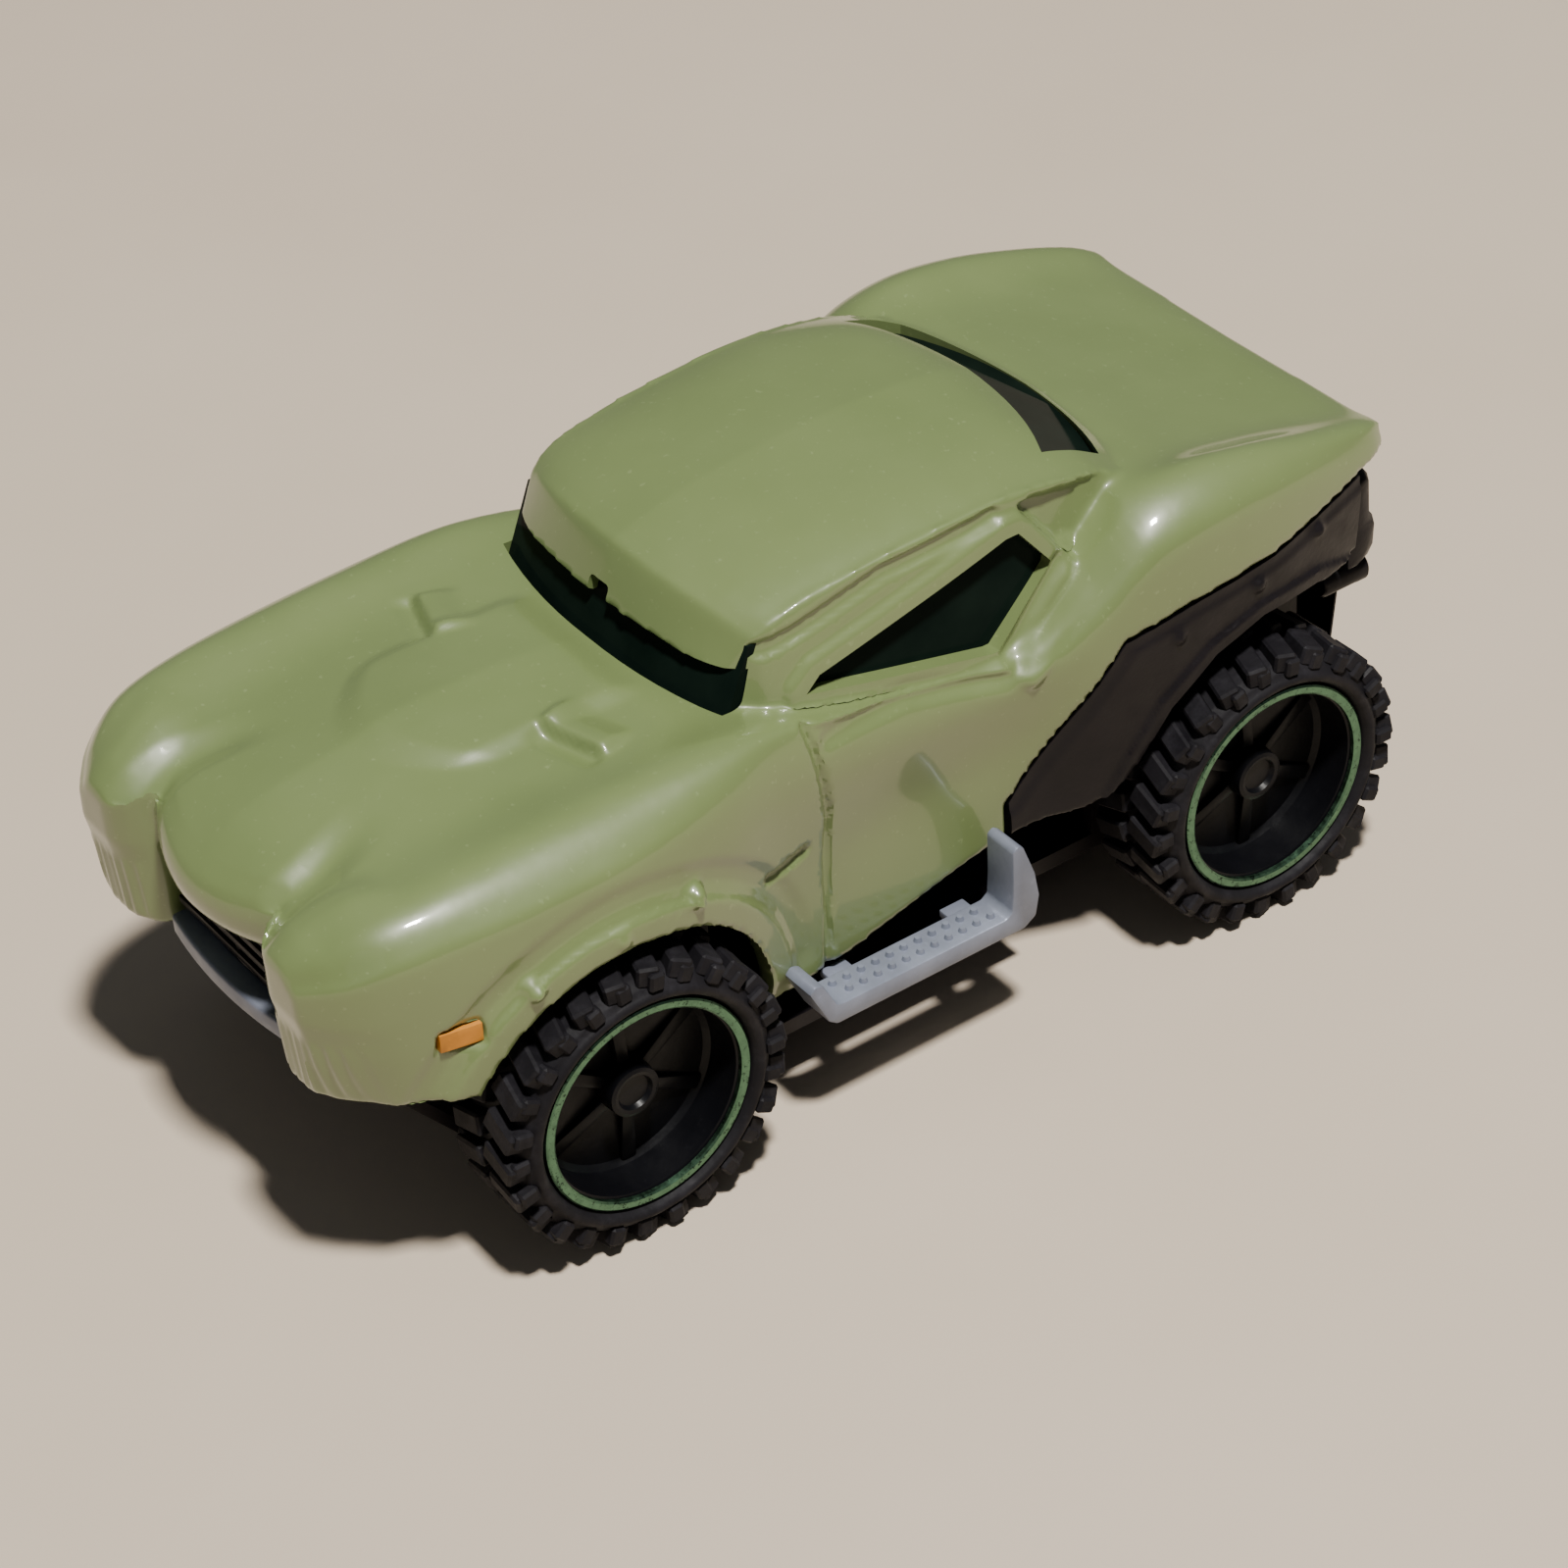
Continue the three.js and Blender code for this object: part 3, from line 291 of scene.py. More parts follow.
def round_edges(bm, width, segments=2, angle=30):
    """Rounds every edge that turns more than the angle."""
    sharp = [e for e in bm.edges if len(e.link_faces) == 2
             and e.calc_face_angle(0) > math.radians(angle)]
    bmesh.ops.bevel(bm, geom=sharp, offset=width, offset_type="OFFSET", affect="EDGES",
                    segments=segments, profile=0.5, material=-1, clamp_overlap=True)


def bar(radius, start, stop, centre, axis="X", sides=32):
    """A cylinder along one axis, its centre given in the other two."""
    outline = [(centre[0] + radius * math.cos(2 * math.pi * i / sides),
                centre[1] + radius * math.sin(2 * math.pi * i / sides)) for i in range(sides)]
    return prism(outline, axis, start, stop)


def turned(profile, steps=96):
    """A closed [x, radius] profile turned round the X axis."""
    bm = bmesh.new()
    verts = [bm.verts.new((x, 0, radius)) for x, radius in profile]
    edges = [bm.edges.new(pair) for pair in zip(verts, verts[1:] + verts[:1])]
    bmesh.ops.spin(bm, geom=verts + edges, cent=(0, 0, 0), axis=(1, 0, 0), dvec=(0, 0, 0),
                   angle=2 * math.pi, steps=steps, use_merge=True)
    bmesh.ops.remove_doubles(bm, verts=bm.verts, dist=1e-4)
    bmesh.ops.recalc_face_normals(bm, faces=bm.faces)
    return bm


def joined(*shapes):
    """Several bmeshes as one."""
    whole = bmesh.new()
    for shape in shapes:
        loose = bpy.data.meshes.new("loose")
        shape.to_mesh(loose)
        shape.free()
        whole.from_mesh(loose)
        bpy.data.meshes.remove(loose)
    return whole


def flipped(bm):
    """The same shape on the car's other side."""
    twin = bm.copy()
    bmesh.ops.scale(twin, vec=(-1, 1, 1), verts=twin.verts)
    bmesh.ops.reverse_faces(twin, faces=twin.faces)
    return twin


def rivet_head(radius, x, y, z):
    """A round head at a place whose height counts from the axles."""
    head = bmesh.new()
    bmesh.ops.create_uvsphere(head, u_segments=16, v_segments=10, radius=radius)
    bmesh.ops.translate(head, vec=(x, y, z + AXLE_Z), verts=head.verts)
    return head


def both_sides(make):
    return [make(), flipped(make())]


def bench(bm):
    """A bmesh as a working object, in millimetres."""
    mesh = bpy.data.meshes.new("bench")
    bm.to_mesh(mesh)
    bm.free()
    obj = bpy.data.objects.new("bench", mesh)
    bpy.context.scene.collection.objects.link(obj)
    return obj


def applied(obj):
    """The object's mesh with its modifiers applied, and the object cleared away."""
    seen = obj.evaluated_get(bpy.context.evaluated_depsgraph_get())
    mesh = bpy.data.meshes.new_from_object(seen)
    bpy.data.objects.remove(obj)
    return mesh


def carved(base, steps, solver="EXACT"):
    """base with each (operation, shape) of the steps done to it, as a mesh."""
    obj = bench(base)
    tools = []
    for operation, shape in steps:
        tool = bench(shape)
        cut = obj.modifiers.new("carve", "BOOLEAN")
        cut.operation = operation
        cut.solver = solver
        cut.object = tool
        tools.append(tool)
    mesh = applied(obj)
    for tool in tools:
        bpy.data.objects.remove(tool)
    return mesh


def remade(mesh, voxel, rounds):
    """The mesh rebuilt as one even skin with its edges softened."""
    obj = bpy.data.objects.new("bench", mesh)
    bpy.context.scene.collection.objects.link(obj)
    even = obj.modifiers.new("even", "REMESH")
    even.mode = "VOXEL"
    even.voxel_size = voxel * 1
    soft = obj.modifiers.new("soft", "SMOOTH")
    soft.factor = 0.5
    soft.iterations = rounds
    made = applied(obj)
    bm = shape_of(made)
    bmesh.ops.recalc_face_normals(bm, faces=bm.faces)
    if bm.calc_volume(signed=True) < 0:
        bmesh.ops.reverse_faces(bm, faces=bm.faces)
    bm.to_mesh(made)
    bm.free()
    return made


def thinned(mesh, most):
    """The mesh brought under a number of triangles."""
    count = sum(len(p.vertices) - 2 for p in mesh.polygons)
    obj = bpy.data.objects.new("bench", mesh)
    bpy.context.scene.collection.objects.link(obj)
    if count > most:
        fewer = obj.modifiers.new("fewer", "DECIMATE")
        fewer.ratio = most / count
    return applied(obj)


def mesh_of(bm):
    mesh = bpy.data.meshes.new("shape")
    bm.to_mesh(mesh)
    bm.free()
    return mesh


def shape_of(mesh):
    bm = bmesh.new()
    bm.from_mesh(mesh)
    return bm


# ---------------------------------------------------------------- relief worked into a skin
def ease(start, stop, values):
    """0 before start, 1 past stop, smooth between."""
    t = np.clip((values - start) / (stop - start), 0, 1)
    return t * t * (3 - 2 * t)


def line_distance(points, u, v, closed=False):
    """How far each place is from a chain of straight lines."""
    best = np.full(u.shape, 1e9)
    ends = points[1:] + points[:1] if closed else points[1:]
    for (au, av), (bu, bv) in zip(points, ends):
        du, dv = bu - au, bv - av
        t = np.clip(((u - au) * du + (v - av) * dv) / (du * du + dv * dv), 0, 1)
        best = np.minimum(best, np.hypot(u - au - t * du, v - av - t * dv))
    return best


def shaped(mesh, *reliefs):
    """Moves the mesh's points by each relief in turn, a function of place and normal."""
    count = len(mesh.vertices)
    place = np.empty(count * 3)
    for relief in reliefs:
        mesh.vertices.foreach_get("co", place)
        normal = np.empty(count * 3)
        mesh.vertex_normals.foreach_get("vector", normal)
        points = place.reshape(-1, 3) + relief(place.reshape(-1, 3), normal.reshape(-1, 3))
        mesh.vertices.foreach_set("co", points.ravel())
        mesh.update()
    return mesh


def along_x(points, amount):
    """A move outwards across the car, the same on both sides."""
    move = np.zeros_like(points)
    move[:, 0] = np.sign(points[:, 0]) * amount
    return move


def side_places(points, normals):
    """Place along the car, height above the axles, and 1 where the surface faces the side."""
    outwards = normals[:, 0] * np.sign(points[:, 0])
    return points[:, 1], points[:, 2] - AXLE_Z, ease(0.15, 0.5, outwards)


# ---------------------------------------------------------------- materials
def material(name, base, roughness, metallic=0.0, coat=0.0, specular=0.5):
    """A new material and its shader, with the plain sockets set."""
    made = bpy.data.materials.new(name)
    made.use_nodes = True
    shader = made.node_tree.nodes["Principled BSDF"]
    shader.inputs["Base Color"].default_value = (*base, 1)
    shader.inputs["Roughness"].default_value = roughness
    shader.inputs["Metallic"].default_value = metallic
    shader.inputs["Coat Weight"].default_value = coat
    shader.inputs["Coat Roughness"].default_value = 0.07
    shader.inputs["Specular IOR Level"].default_value = specular
    return made, shader


def noise(made, scale, detail=4.0, roughness=0.55):
    """Noise over the object's own coordinates; scale is cells to the metre."""
    tree = made.node_tree
    place = tree.nodes.new("ShaderNodeTexCoord")
    cloud = tree.nodes.new("ShaderNodeTexNoise")
    cloud.inputs["Scale"].default_value = scale
    cloud.inputs["Detail"].default_value = detail
    cloud.inputs["Roughness"].default_value = roughness
    tree.links.new(place.outputs["Object"], cloud.inputs["Vector"])
    return cloud.outputs["Fac"]


def ramp(made, value, stops):
    """value read through (place, colour) stops."""
    node = made.node_tree.nodes.new("ShaderNodeValToRGB")
    band = node.color_ramp
    while len(band.elements) < len(stops):
        band.elements.new(0.5)
    for element, (where, colour) in zip(band.elements, stops):
        element.position = where
        element.color = (*colour, 1) if isinstance(colour, tuple) else (colour,) * 3 + (1,)
    made.node_tree.links.new(value, node.inputs["Fac"])
    return node.outputs["Color"]


def mixed(made, amount, first, second):
    """One colour over another, by an amount that varies over the surface."""
    node = made.node_tree.nodes.new("ShaderNodeMix")
    node.data_type = "RGBA"
    made.node_tree.links.new(amount, node.inputs["Factor"])
    for value, socket in ((first, node.inputs["A"]), (second, node.inputs["B"])):
        if isinstance(value, tuple):
            socket.default_value = (*value, 1)
        else:
            made.node_tree.links.new(value, socket)
    return node.outputs["Result"]


def bumped(made, shader, height, strength, distance):
    """Raises the surface by a height that varies over it."""
    node = made.node_tree.nodes.new("ShaderNodeBump")
    node.inputs["Strength"].default_value = strength
    node.inputs["Distance"].default_value = distance
    made.node_tree.links.new(height, node.inputs["Height"])
    made.node_tree.links.new(node.outputs["Normal"], shader.inputs["Normal"])


def enamel():
    """Thick olive enamel: cloudy by a few percent, faintly wavy, with specks of dust."""
    made, shader = material("olive_enamel", (0.145, 0.195, 0.07), 0.42, coat=0.9)
    link = made.node_tree.links.new
    cloud = ramp(made, noise(made, 90, 3),
                 [(0.35, (0.138, 0.187, 0.067)), (0.65, (0.152, 0.203, 0.075))])
    speck = ramp(made, noise(made, 2600, 2), [(0.66, 0.0), (0.75, 1.0)])
    link(mixed(made, speck, cloud, (0.18, 0.235, 0.095)), shader.inputs["Base Color"])
    link(ramp(made, noise(made, 240, 3), [(0.3, 0.36), (0.7, 0.46)]), shader.inputs["Roughness"])
    bumped(made, shader, noise(made, 420, 2), 0.25, 0.00012)
    return made


def smoked():
    """Dark smoked clear plastic, with a mould's faint ripple."""
    made, shader = material("smoked_plastic", (0.004, 0.009, 0.007), 0.12, specular=0.4)
    shader.inputs["IOR"].default_value = 1.09
    link = made.node_tree.links.new
    cloud = ramp(made, noise(made, 300, 3),
                 [(0.3, (0.003, 0.007, 0.0055)), (0.7, (0.006, 0.012, 0.009))])
    link(cloud, shader.inputs["Base Color"])
    bumped(made, shader, noise(made, 160, 2), 0.2, 0.0001)
    return made


def moulded(name, base, roughness, grain, metallic=0.0, coat=0.0):
    """Moulded plastic: a fine even grain, slightly cloudy, scuffed lighter here and there."""
    made, shader = material(name, base, roughness, metallic, coat, 0.35)
    shader.inputs["IOR"].default_value = 1.33
    link = made.node_tree.links.new
    darker, lighter = tuple(v * 0.8 for v in base), tuple(v * 1.25 for v in base)
    cloud = ramp(made, noise(made, 260, 5), [(0.3, darker), (0.7, lighter)])
    scuff = ramp(made, noise(made, 1500, 6, 0.7), [(0.6, 0.0), (0.78, 0.5)])
    link(mixed(made, scuff, cloud, tuple(min(v * 1.6 + 0.006, 1) for v in base)),
         shader.inputs["Base Color"])
    link(ramp(made, noise(made, 700, 4), [(0.3, roughness - 0.06), (0.7, roughness + 0.1)]),
         shader.inputs["Roughness"])
    bumped(made, shader, noise(made, grain, 3), 0.35, 0.00005)
    return made


def tread_rubber():
    """Soft black compound with dusty high spots."""
    made, shader = material("tread_rubber", (0.007, 0.0065, 0.0085), 0.6, specular=0.35)
    shader.inputs["IOR"].default_value = 1.33
    link = made.node_tree.links.new
    dust = ramp(made, noise(made, 700, 6, 0.7), [(0.5, 0.0), (0.72, 0.6)])
    cloud = ramp(made, noise(made, 200, 3),
                 [(0.3, (0.0055, 0.005, 0.0068)), (0.7, (0.01, 0.0092, 0.0115))])
    link(mixed(made, dust, cloud, (0.022, 0.021, 0.026)), shader.inputs["Base Color"])
    link(ramp(made, noise(made, 900, 4), [(0.3, 0.5), (0.7, 0.75)]), shader.inputs["Roughness"])
    bumped(made, shader, noise(made, 2400, 4), 0.4, 0.00006)
    return made


def metal(name, base, roughness, scratch, worn=None):
    """Bare or coated metal, drawn or worn along fine scratches."""
    made, shader = material(name, base, roughness, metallic=1.0)
    link = made.node_tree.links.new
    tone = ramp(made, noise(made, scratch, 5, 0.7),
                [(0.3, tuple(v * 0.8 for v in base)), (0.7, tuple(min(v * 1.15, 1) for v in base))])
    if worn:
        flecks = ramp(made, noise(made, scratch * 2.2, 4, 0.8), [(0.56, 0.0), (0.63, 1.0)])
        tone = mixed(made, flecks, tone, worn)
    link(tone, shader.inputs["Base Color"])
    gloss = ramp(made, noise(made, scratch * 1.5, 3),
                 [(0.3, max(roughness - 0.08, 0.05)), (0.7, roughness + 0.12)])
    link(gloss, shader.inputs["Roughness"])
    bumped(made, shader, noise(made, scratch * 1.3, 3), 0.25, 0.00003)
    return made


FINISH = {
    "paint": enamel(),
    "smoked_glazing": smoked(),
    "black_plastic": moulded("trim_plastic", (0.0075, 0.0062, 0.0075), 0.4, 2600, coat=0.05),
    "grey_plastic": moulded("silver_plastic", (0.2, 0.22, 0.28), 0.4, 3200, metallic=0.3),
    "amber_paint": moulded("amber_print", (0.5, 0.2, 0.03), 0.35, 3000),
    "axle_steel": metal("axle_steel", (0.5, 0.51, 0.53), 0.28, 1400),
    "rivet_zinc": metal("rivet_zinc", (0.36, 0.36, 0.37), 0.42, 900),
    "green_metal": metal("green_band", (0.11, 0.22, 0.14), 0.34, 1700, worn=(0.012, 0.02, 0.016)),
    "rubber": tread_rubber(),
    "rim_plastic": moulded("rim_plastic", (0.0028, 0.0029, 0.004), 0.38, 2200),
    "nylon": moulded("gear_nylon", (0.7, 0.67, 0.6), 0.45, 2000),
    "motor_plastic": moulded("motor_plastic", (0.03, 0.07, 0.16), 0.4, 2400),
    "spring_steel": metal("spring_steel", (0.2, 0.22, 0.27), 0.3, 1600),
    "brass": metal("gear_brass", (0.55, 0.38, 0.13), 0.3, 1500),
}


def piece(name, mesh, *nodes, smooth=True, replace=True):
    """Finishes a mesh made in millimetres: metres, a smooth shade, its body, slot and finish."""
    if isinstance(mesh, bmesh.types.BMesh):
        mesh = mesh_of(mesh)
    mesh.transform(Matrix.Scale(MM, 4))
    mesh.name = name
    mesh.polygons.foreach_set("use_smooth", [smooth] * len(mesh.polygons))
    mesh.materials.clear()
    mesh.materials.append(FINISH[SLOT[nodes[0]]])
    obj = bpy.data.objects.new(name, mesh)
    bpy.context.scene.collection.objects.link(obj)
    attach(obj, HOME[nodes[0]])
    if replace:
        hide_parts(*nodes)
    return obj


def crisp(obj, angle=35):
    """Keeps edges that turn more than the angle sharp in a smooth shade."""
    obj.data.set_sharp_from_angle(angle=math.radians(angle))
    return obj


def crisp_pair(left, name, node, angle=35):
    """A left piece and its mirror image; name and node say where the side's word goes."""
    for side, shape in (("left", left), ("right", flipped(left))):
        crisp(piece(name.format(side), shape, node.format(side)), angle)


# ---------------------------------------------------------------- camera, floor and lights
def make_camera():
    """Above the car's front left corner, about 23 cm away, with a long lens."""
    azimuth, elevation, roll = (math.radians(a) for a in (56.706, 36.845, -4.053))
    distance, slide, drop = 234.13, 16.473, 8.582    # from the front axle's middle
    back = Vector((math.sin(azimuth) * math.cos(elevation),
                   -math.cos(azimuth) * math.cos(elevation), math.sin(elevation)))
    level = Vector((math.cos(azimuth), math.sin(azimuth), 0))
    upright = back.cross(level)
    right = math.cos(roll) * level + math.sin(roll) * upright
    up = math.cos(roll) * upright - math.sin(roll) * level
    place = Vector((0, FRONT_AXLE_Y, AXLE_Z)) + slide * right + drop * up + distance * back
    data = bpy.data.cameras.new("camera")
    data.sensor_width = 36
    data.lens = 101.3
    data.clip_start = 0.01
    data.clip_end = 20
    camera = bpy.data.objects.new("camera", data)
    bpy.context.scene.collection.objects.link(camera)
    turn = Matrix((right, up, back)).transposed().to_4x4()
    camera.matrix_world = Matrix.Translation(place * MM) @ turn
    bpy.context.scene.camera = camera


def make_floor():
    """A plain pale sheet under the car."""
    bm = bmesh.new()
    bmesh.ops.create_grid(bm, x_segments=8, y_segments=8, size=1.2)
    mesh = mesh_of(bm)
    made, shader = material("pale_floor", (0.56, 0.47, 0.37), 0.75)
    made.node_tree.links.new(
        ramp(made, noise(made, 30, 4), [(0.3, (0.55, 0.46, 0.36)), (0.7, (0.575, 0.485, 0.385))]),
        shader.inputs["Base Color"])
    mesh.materials.append(made)
    floor = bpy.data.objects.new("floor", mesh)
    bpy.context.scene.collection.objects.link(floor)


def area_light(name, place, target, size, watts, colour=(1, 1, 1)):
    data = bpy.data.lights.new(name, "AREA")
    data.shape = "RECTANGLE"
    data.size, data.size_y = size
    data.energy = watts
    data.color = colour
    lamp = bpy.data.objects.new(name, data)
    bpy.context.scene.collection.objects.link(lamp)
    look = (Vector(place) - Vector(target)).to_track_quat("Z", "Y")
    lamp.matrix_world = Matrix.Translation(Vector(place)) @ look.to_matrix().to_4x4()


def make_lights():
    """One lamp high over the car's left side, a dim room and a faint fill from the front."""
    world = bpy.data.worlds.new("room")
    world.use_nodes = True
    world.node_tree.nodes["Background"].inputs["Color"].default_value = (0.88, 0.93, 1, 1)
    world.node_tree.nodes["Background"].inputs["Strength"].default_value = 0.1
    bpy.context.scene.world = world
    area_light("lamp", (0.27, -0.05, 0.75), (0, 0, 0.01), (0.07, 0.07), 11.5, (1, 0.97, 0.92))
    area_light("fill", (0.5, -0.7, 0.5), (0, 0, 0.01), (0.5, 0.4), 0.15)


# ---------------------------------------------------------------- body
def side_openings():
    return both_sides(lambda: prism(raised(SIDE_WINDOW), "X", 8, FAR))


WINDSCREEN_HALF = 10.2
WINDSCREEN_FOOT, WINDSCREEN_HEAD = 15.2, 18.05


def windscreen_outline(shrink):
    """Seen from above: the lower edge's sweep, and a straight back inside the cabin."""
    half, steps = WINDSCREEN_HALF - shrink, 14
    shares = even_places(steps)
    front = [(half * s, nose(8.85 + 1.4 * s * s) + shrink) for s in shares]
    return front + [(half, nose(15)), (-half, nose(15))]


def windscreen_opening():
    """A low wide crescent between the bonnet and the roof, with a small notch in its top."""
    slot = prism(windscreen_outline(0), "Z", AXLE_Z + WINDSCREEN_FOOT, AXLE_Z + WINDSCREEN_HEAD)
    notch = block((-0.85, 0.85), (nose(8.6), nose(14)),
                  (AXLE_Z + WINDSCREEN_HEAD - 0.6, AXLE_Z + 19.1), 0.25)
    return [slot, notch]


def windscreen_pane():
    """The smoked pane that fills the slot, leaning back under the roof's brow."""
    pane = prism(windscreen_outline(0.08), "Z", AXLE_Z + WINDSCREEN_FOOT + 0.1, AXLE_Z + 19.3)
    bmesh.ops.subdivide_edges(pane, edges=[e for e in pane.edges
                              if abs(e.verts[0].co.z - e.verts[1].co.z) > 1], cuts=6)
    for v in pane.verts:
        rise = v.co.z - AXLE_Z - WINDSCREEN_FOOT
        if v.co.y < nose(14.5):
            v.co.y += 0.1 + 0.42 * rise
    return pane


def rear_outline(shrink):
    """Seen from above: a crescent behind the roof, swept forward at its blunt ends."""
    half, steps = 8.7 - shrink, 14
    shares = even_places(steps)
    upper = [(half * s, tail(-7.5 - 1.9 * s * s) + shrink) for s in shares]
    lower = [(half * s, tail(-3.7 - 1.9 * s * s) - shrink) for s in reversed(shares)]
    return upper + lower


def rear_opening():
    return prism(rear_outline(0), "Z", AXLE_Z + 16.4, AXLE_Z + 24)


def rear_pane():
    """The smoked pane of the rear window, lying on the slope behind the roof."""
    pane = prism(rear_outline(0.08), "Z", AXLE_Z + 16, AXLE_Z + 22)
    for v in pane.verts:
        if v.co.z > AXLE_Z + 20:
            fall = 0.49 * (v.co.y - tail(-7.5) + 0.025 * v.co.x ** 2)
            v.co.z = AXLE_Z + 21.35 - fall
    return pane


# The bonnet's rolled lip: height above the axles, how far back, and how much the height rises
# towards the wings.
LIP_ROLL = [(2, 0.9, 0), (10.0, 0.9, 0), (10.3, 0.42, 0.1), (10.9, 0.1, 0.3), (11.7, 0.0, 0.6),
            (12.3, 0.14, 0.8), (12.8, 0.45, 0.8), (13.2, 0.9, 0.8), (13.55, 1.35, 0.8),
            (22, 1.4, 0)]
WING_CORNER = [(6.3, -13.9), (6.5, -14.6), (6.95, -15.2), (7.6, -15.65), (8.4, -15.95)]


def nose_opening():
    """Everything ahead of the bonnet's lip and between the wings, whose inner corners are round."""
    steps = 16
    shares = even_places(steps)
    rings = []
    for height, back, rise in LIP_ROLL:
        lip = [(GRILLE_HALF * s, nose(-BONNET_TIP + BONNET_SWEEP * s * s + back),
                height + AXLE_Z + rise * s * s) for s in shares]
        z = height + AXLE_Z + rise
        right = [(x, nose(y), z) for x, y in WING_CORNER] + [(8.4, -FAR, z)]
        left = [(-x, y, z) for x, y, z in reversed(right)]
        rings.append(lip + right + left)
    return lofted(rings)


def hollow():
    """The space inside the shell; the nose and the metal behind the sunk triangles stay solid."""
    y = [a for a, _ in QUARTER_RECESS]
    keep = [block((9.0, FAR), (min(y) - 0.6, max(y) + 0.8), (AXLE_Z + 15.6, AXLE_Z + 20.2))]
    keep += [flipped(keep[0]), block((-FAR, FAR), (-FAR, nose(-12.2)), (-FAR, FAR))]
    inside = [skin(BODY_SECTIONS, SPACE_RINGS, SPACE_SPAN, WALL, SPACE_FLOOR),
              cabin(24, 4, WALL, CABIN_ROOT - 2)]
    return [shape_of(carved(space, [("DIFFERENCE", solid.copy()) for solid in keep]))
            for space in inside]


def quarter_recess():
    """The sunk triangle behind each side window, its floor leaning in with the roof's side."""
    pocket = prism(raised(QUARTER_RECESS), "X", 0, FAR)
    for v in pocket.verts:
        if v.co.x < 1:
            v.co.x = 10.3 + 0.18 * (20.8 + AXLE_Z - v.co.z)
    return pocket


def flare_cut():
    top = [(y, z + AXLE_Z + GAP) for y, z in FLARE_TOP]
    front = top[0][0] - GAP
    outline = [(front, 0), (front, top[0][1])] + top + [(FAR, top[-1][1]), (FAR, 0)]
    return prism(outline, "X", BASE_HALF + GAP, FAR)


def marker_block(margin):
    """The lamp's place in the wing: a parallelogram ahead of the front wheel."""
    y0, y1, z0 = low("marker_lamp_left").y, high("marker_lamp_left").y, low("marker_lamp_left").z
    z1 = high("marker_lamp_left").z
    return block((11.6, FAR), (y0 - margin, y1 + margin), (z0 - margin, z1 + margin))


def arch_lip(points, normals):
    """A raised lip round the front arch, with a shallow channel above it."""
    y, z, facing = side_places(points, normals)
    reach = np.hypot(y - FRONT_AXLE_Y, z)
    lip = ease(9.0, 9.5, reach) * ease(11.5, 11.1, reach)
    channel = ease(11.5, 12.1, reach) * ease(13.6, 12.6, reach)
    here = ease(-0.5, 1.5, z) * ease(12.6, 13.2, np.abs(points[:, 0])) * facing
    return along_x(points, (0.42 * lip - 0.22 * channel) * here)


def window_lips(points, normals):
    """A rolled edge round each side window and the channel of the roof rail above it."""
    y, z, facing = side_places(points, normals)
    reach = line_distance(SIDE_WINDOW, y, z, closed=True)
    lip = ease(1.3, 0.7, reach)
    rail = ease(0.62, 0.25, line_distance(ROOF_RAIL, y, z))
    here = ease(7.5, 8.5, np.abs(points[:, 0])) * facing
    return along_x(points, (0.34 * lip - 0.3 * rail) * here)


def door_groove(points, normals):
    """The door's front shut line and the small vent behind the arch."""
    y, z, facing = side_places(points, normals)
    groove = ease(0.34, 0.1, line_distance(DOOR_LINE, y, z))
    vent = ease(0.5, 0.15, line_distance(SIDE_VENT, y, z))
    return along_x(points, -(0.32 * groove + 0.35 * vent) * facing)


def bonnet_dome(points, normals):
    """The bonnet's raised middle and the two low scoops beside it."""
    x, y = np.abs(points[:, 0]), points[:, 1] - FRONT_AXLE_Y
    up = ease(0.4, 0.8, normals[:, 2]) * ease(12, 13, points[:, 2] - AXLE_Z)
    bow = 0.115 * x * x
    dome = ease(6.1, 4.7, x) * ease(-5.9 + bow, -3.7 + bow, y) * ease(9, 6.5, y)
    run = (x - 5.0) * 0.955 + (y - 2.6) * 0.296
    across = -(x - 5.0) * 0.296 + (y - 2.6) * 0.955
    ends = ease(-0.3, 0.5, run) * ease(4.6, 3.8, run)
    scoop = ends * (0.5 * ease(2.8, 0.5, across) * ease(-0.28, 0.28, across)
                    - 0.28 * ease(0.28, -0.28, across) * ease(-1.6, -0.3, across))
    move = np.zeros_like(points)
    move[:, 2] = (0.42 * dome + scoop) * up
    return move


def nose_face(points, normals):
    """Under its brow each wing's face steps in a little and carries fine upright ribs."""
    x, y, z = np.abs(points[:, 0]), points[:, 1] - FRONT_AXLE_Y, points[:, 2] - AXLE_Z
    ahead = ease(-11.5, -14.0, y) * ease(6.0, 6.6, x)
    under = ease(10.4, 9.0, z)
    ribs = 0.07 * np.cos(x * 2 * math.pi / 0.7) * ease(9.0, 8.4, z) * ease(4.9, 5.6, z)
    faces = ease(0.4, 0.8, -normals[:, 1])
    move = np.zeros_like(points)
    move[:, 1] = ahead * (0.18 * under + 0.07 * np.maximum(9.4 - z, 0) - ribs * faces)
    return move


def wing_valley(points, normals):
    """A soft valley parts the bonnet from each wing, whose front end swells a little."""
    x, y, z = np.abs(points[:, 0]), points[:, 1] - FRONT_AXLE_Y, points[:, 2] - AXLE_Z
    up = ease(0.2, 0.7, normals[:, 2]) * ease(10, 11, z)
    valley = ease(1.9, 0.0, line_distance([(6.5, -15.6), (6.3, -11.5), (5.2, -7.5)], x, y))
    swell = ease(2.3, 0.2, line_distance([(8.9, -14.2), (9.9, -10.5)], x, y))
    move = np.zeros_like(points)
    move[:, 2] = (0.4 * swell * ease(-9, -12, y) - 0.62 * valley * ease(-6.5, -12, y)) * up
    return move


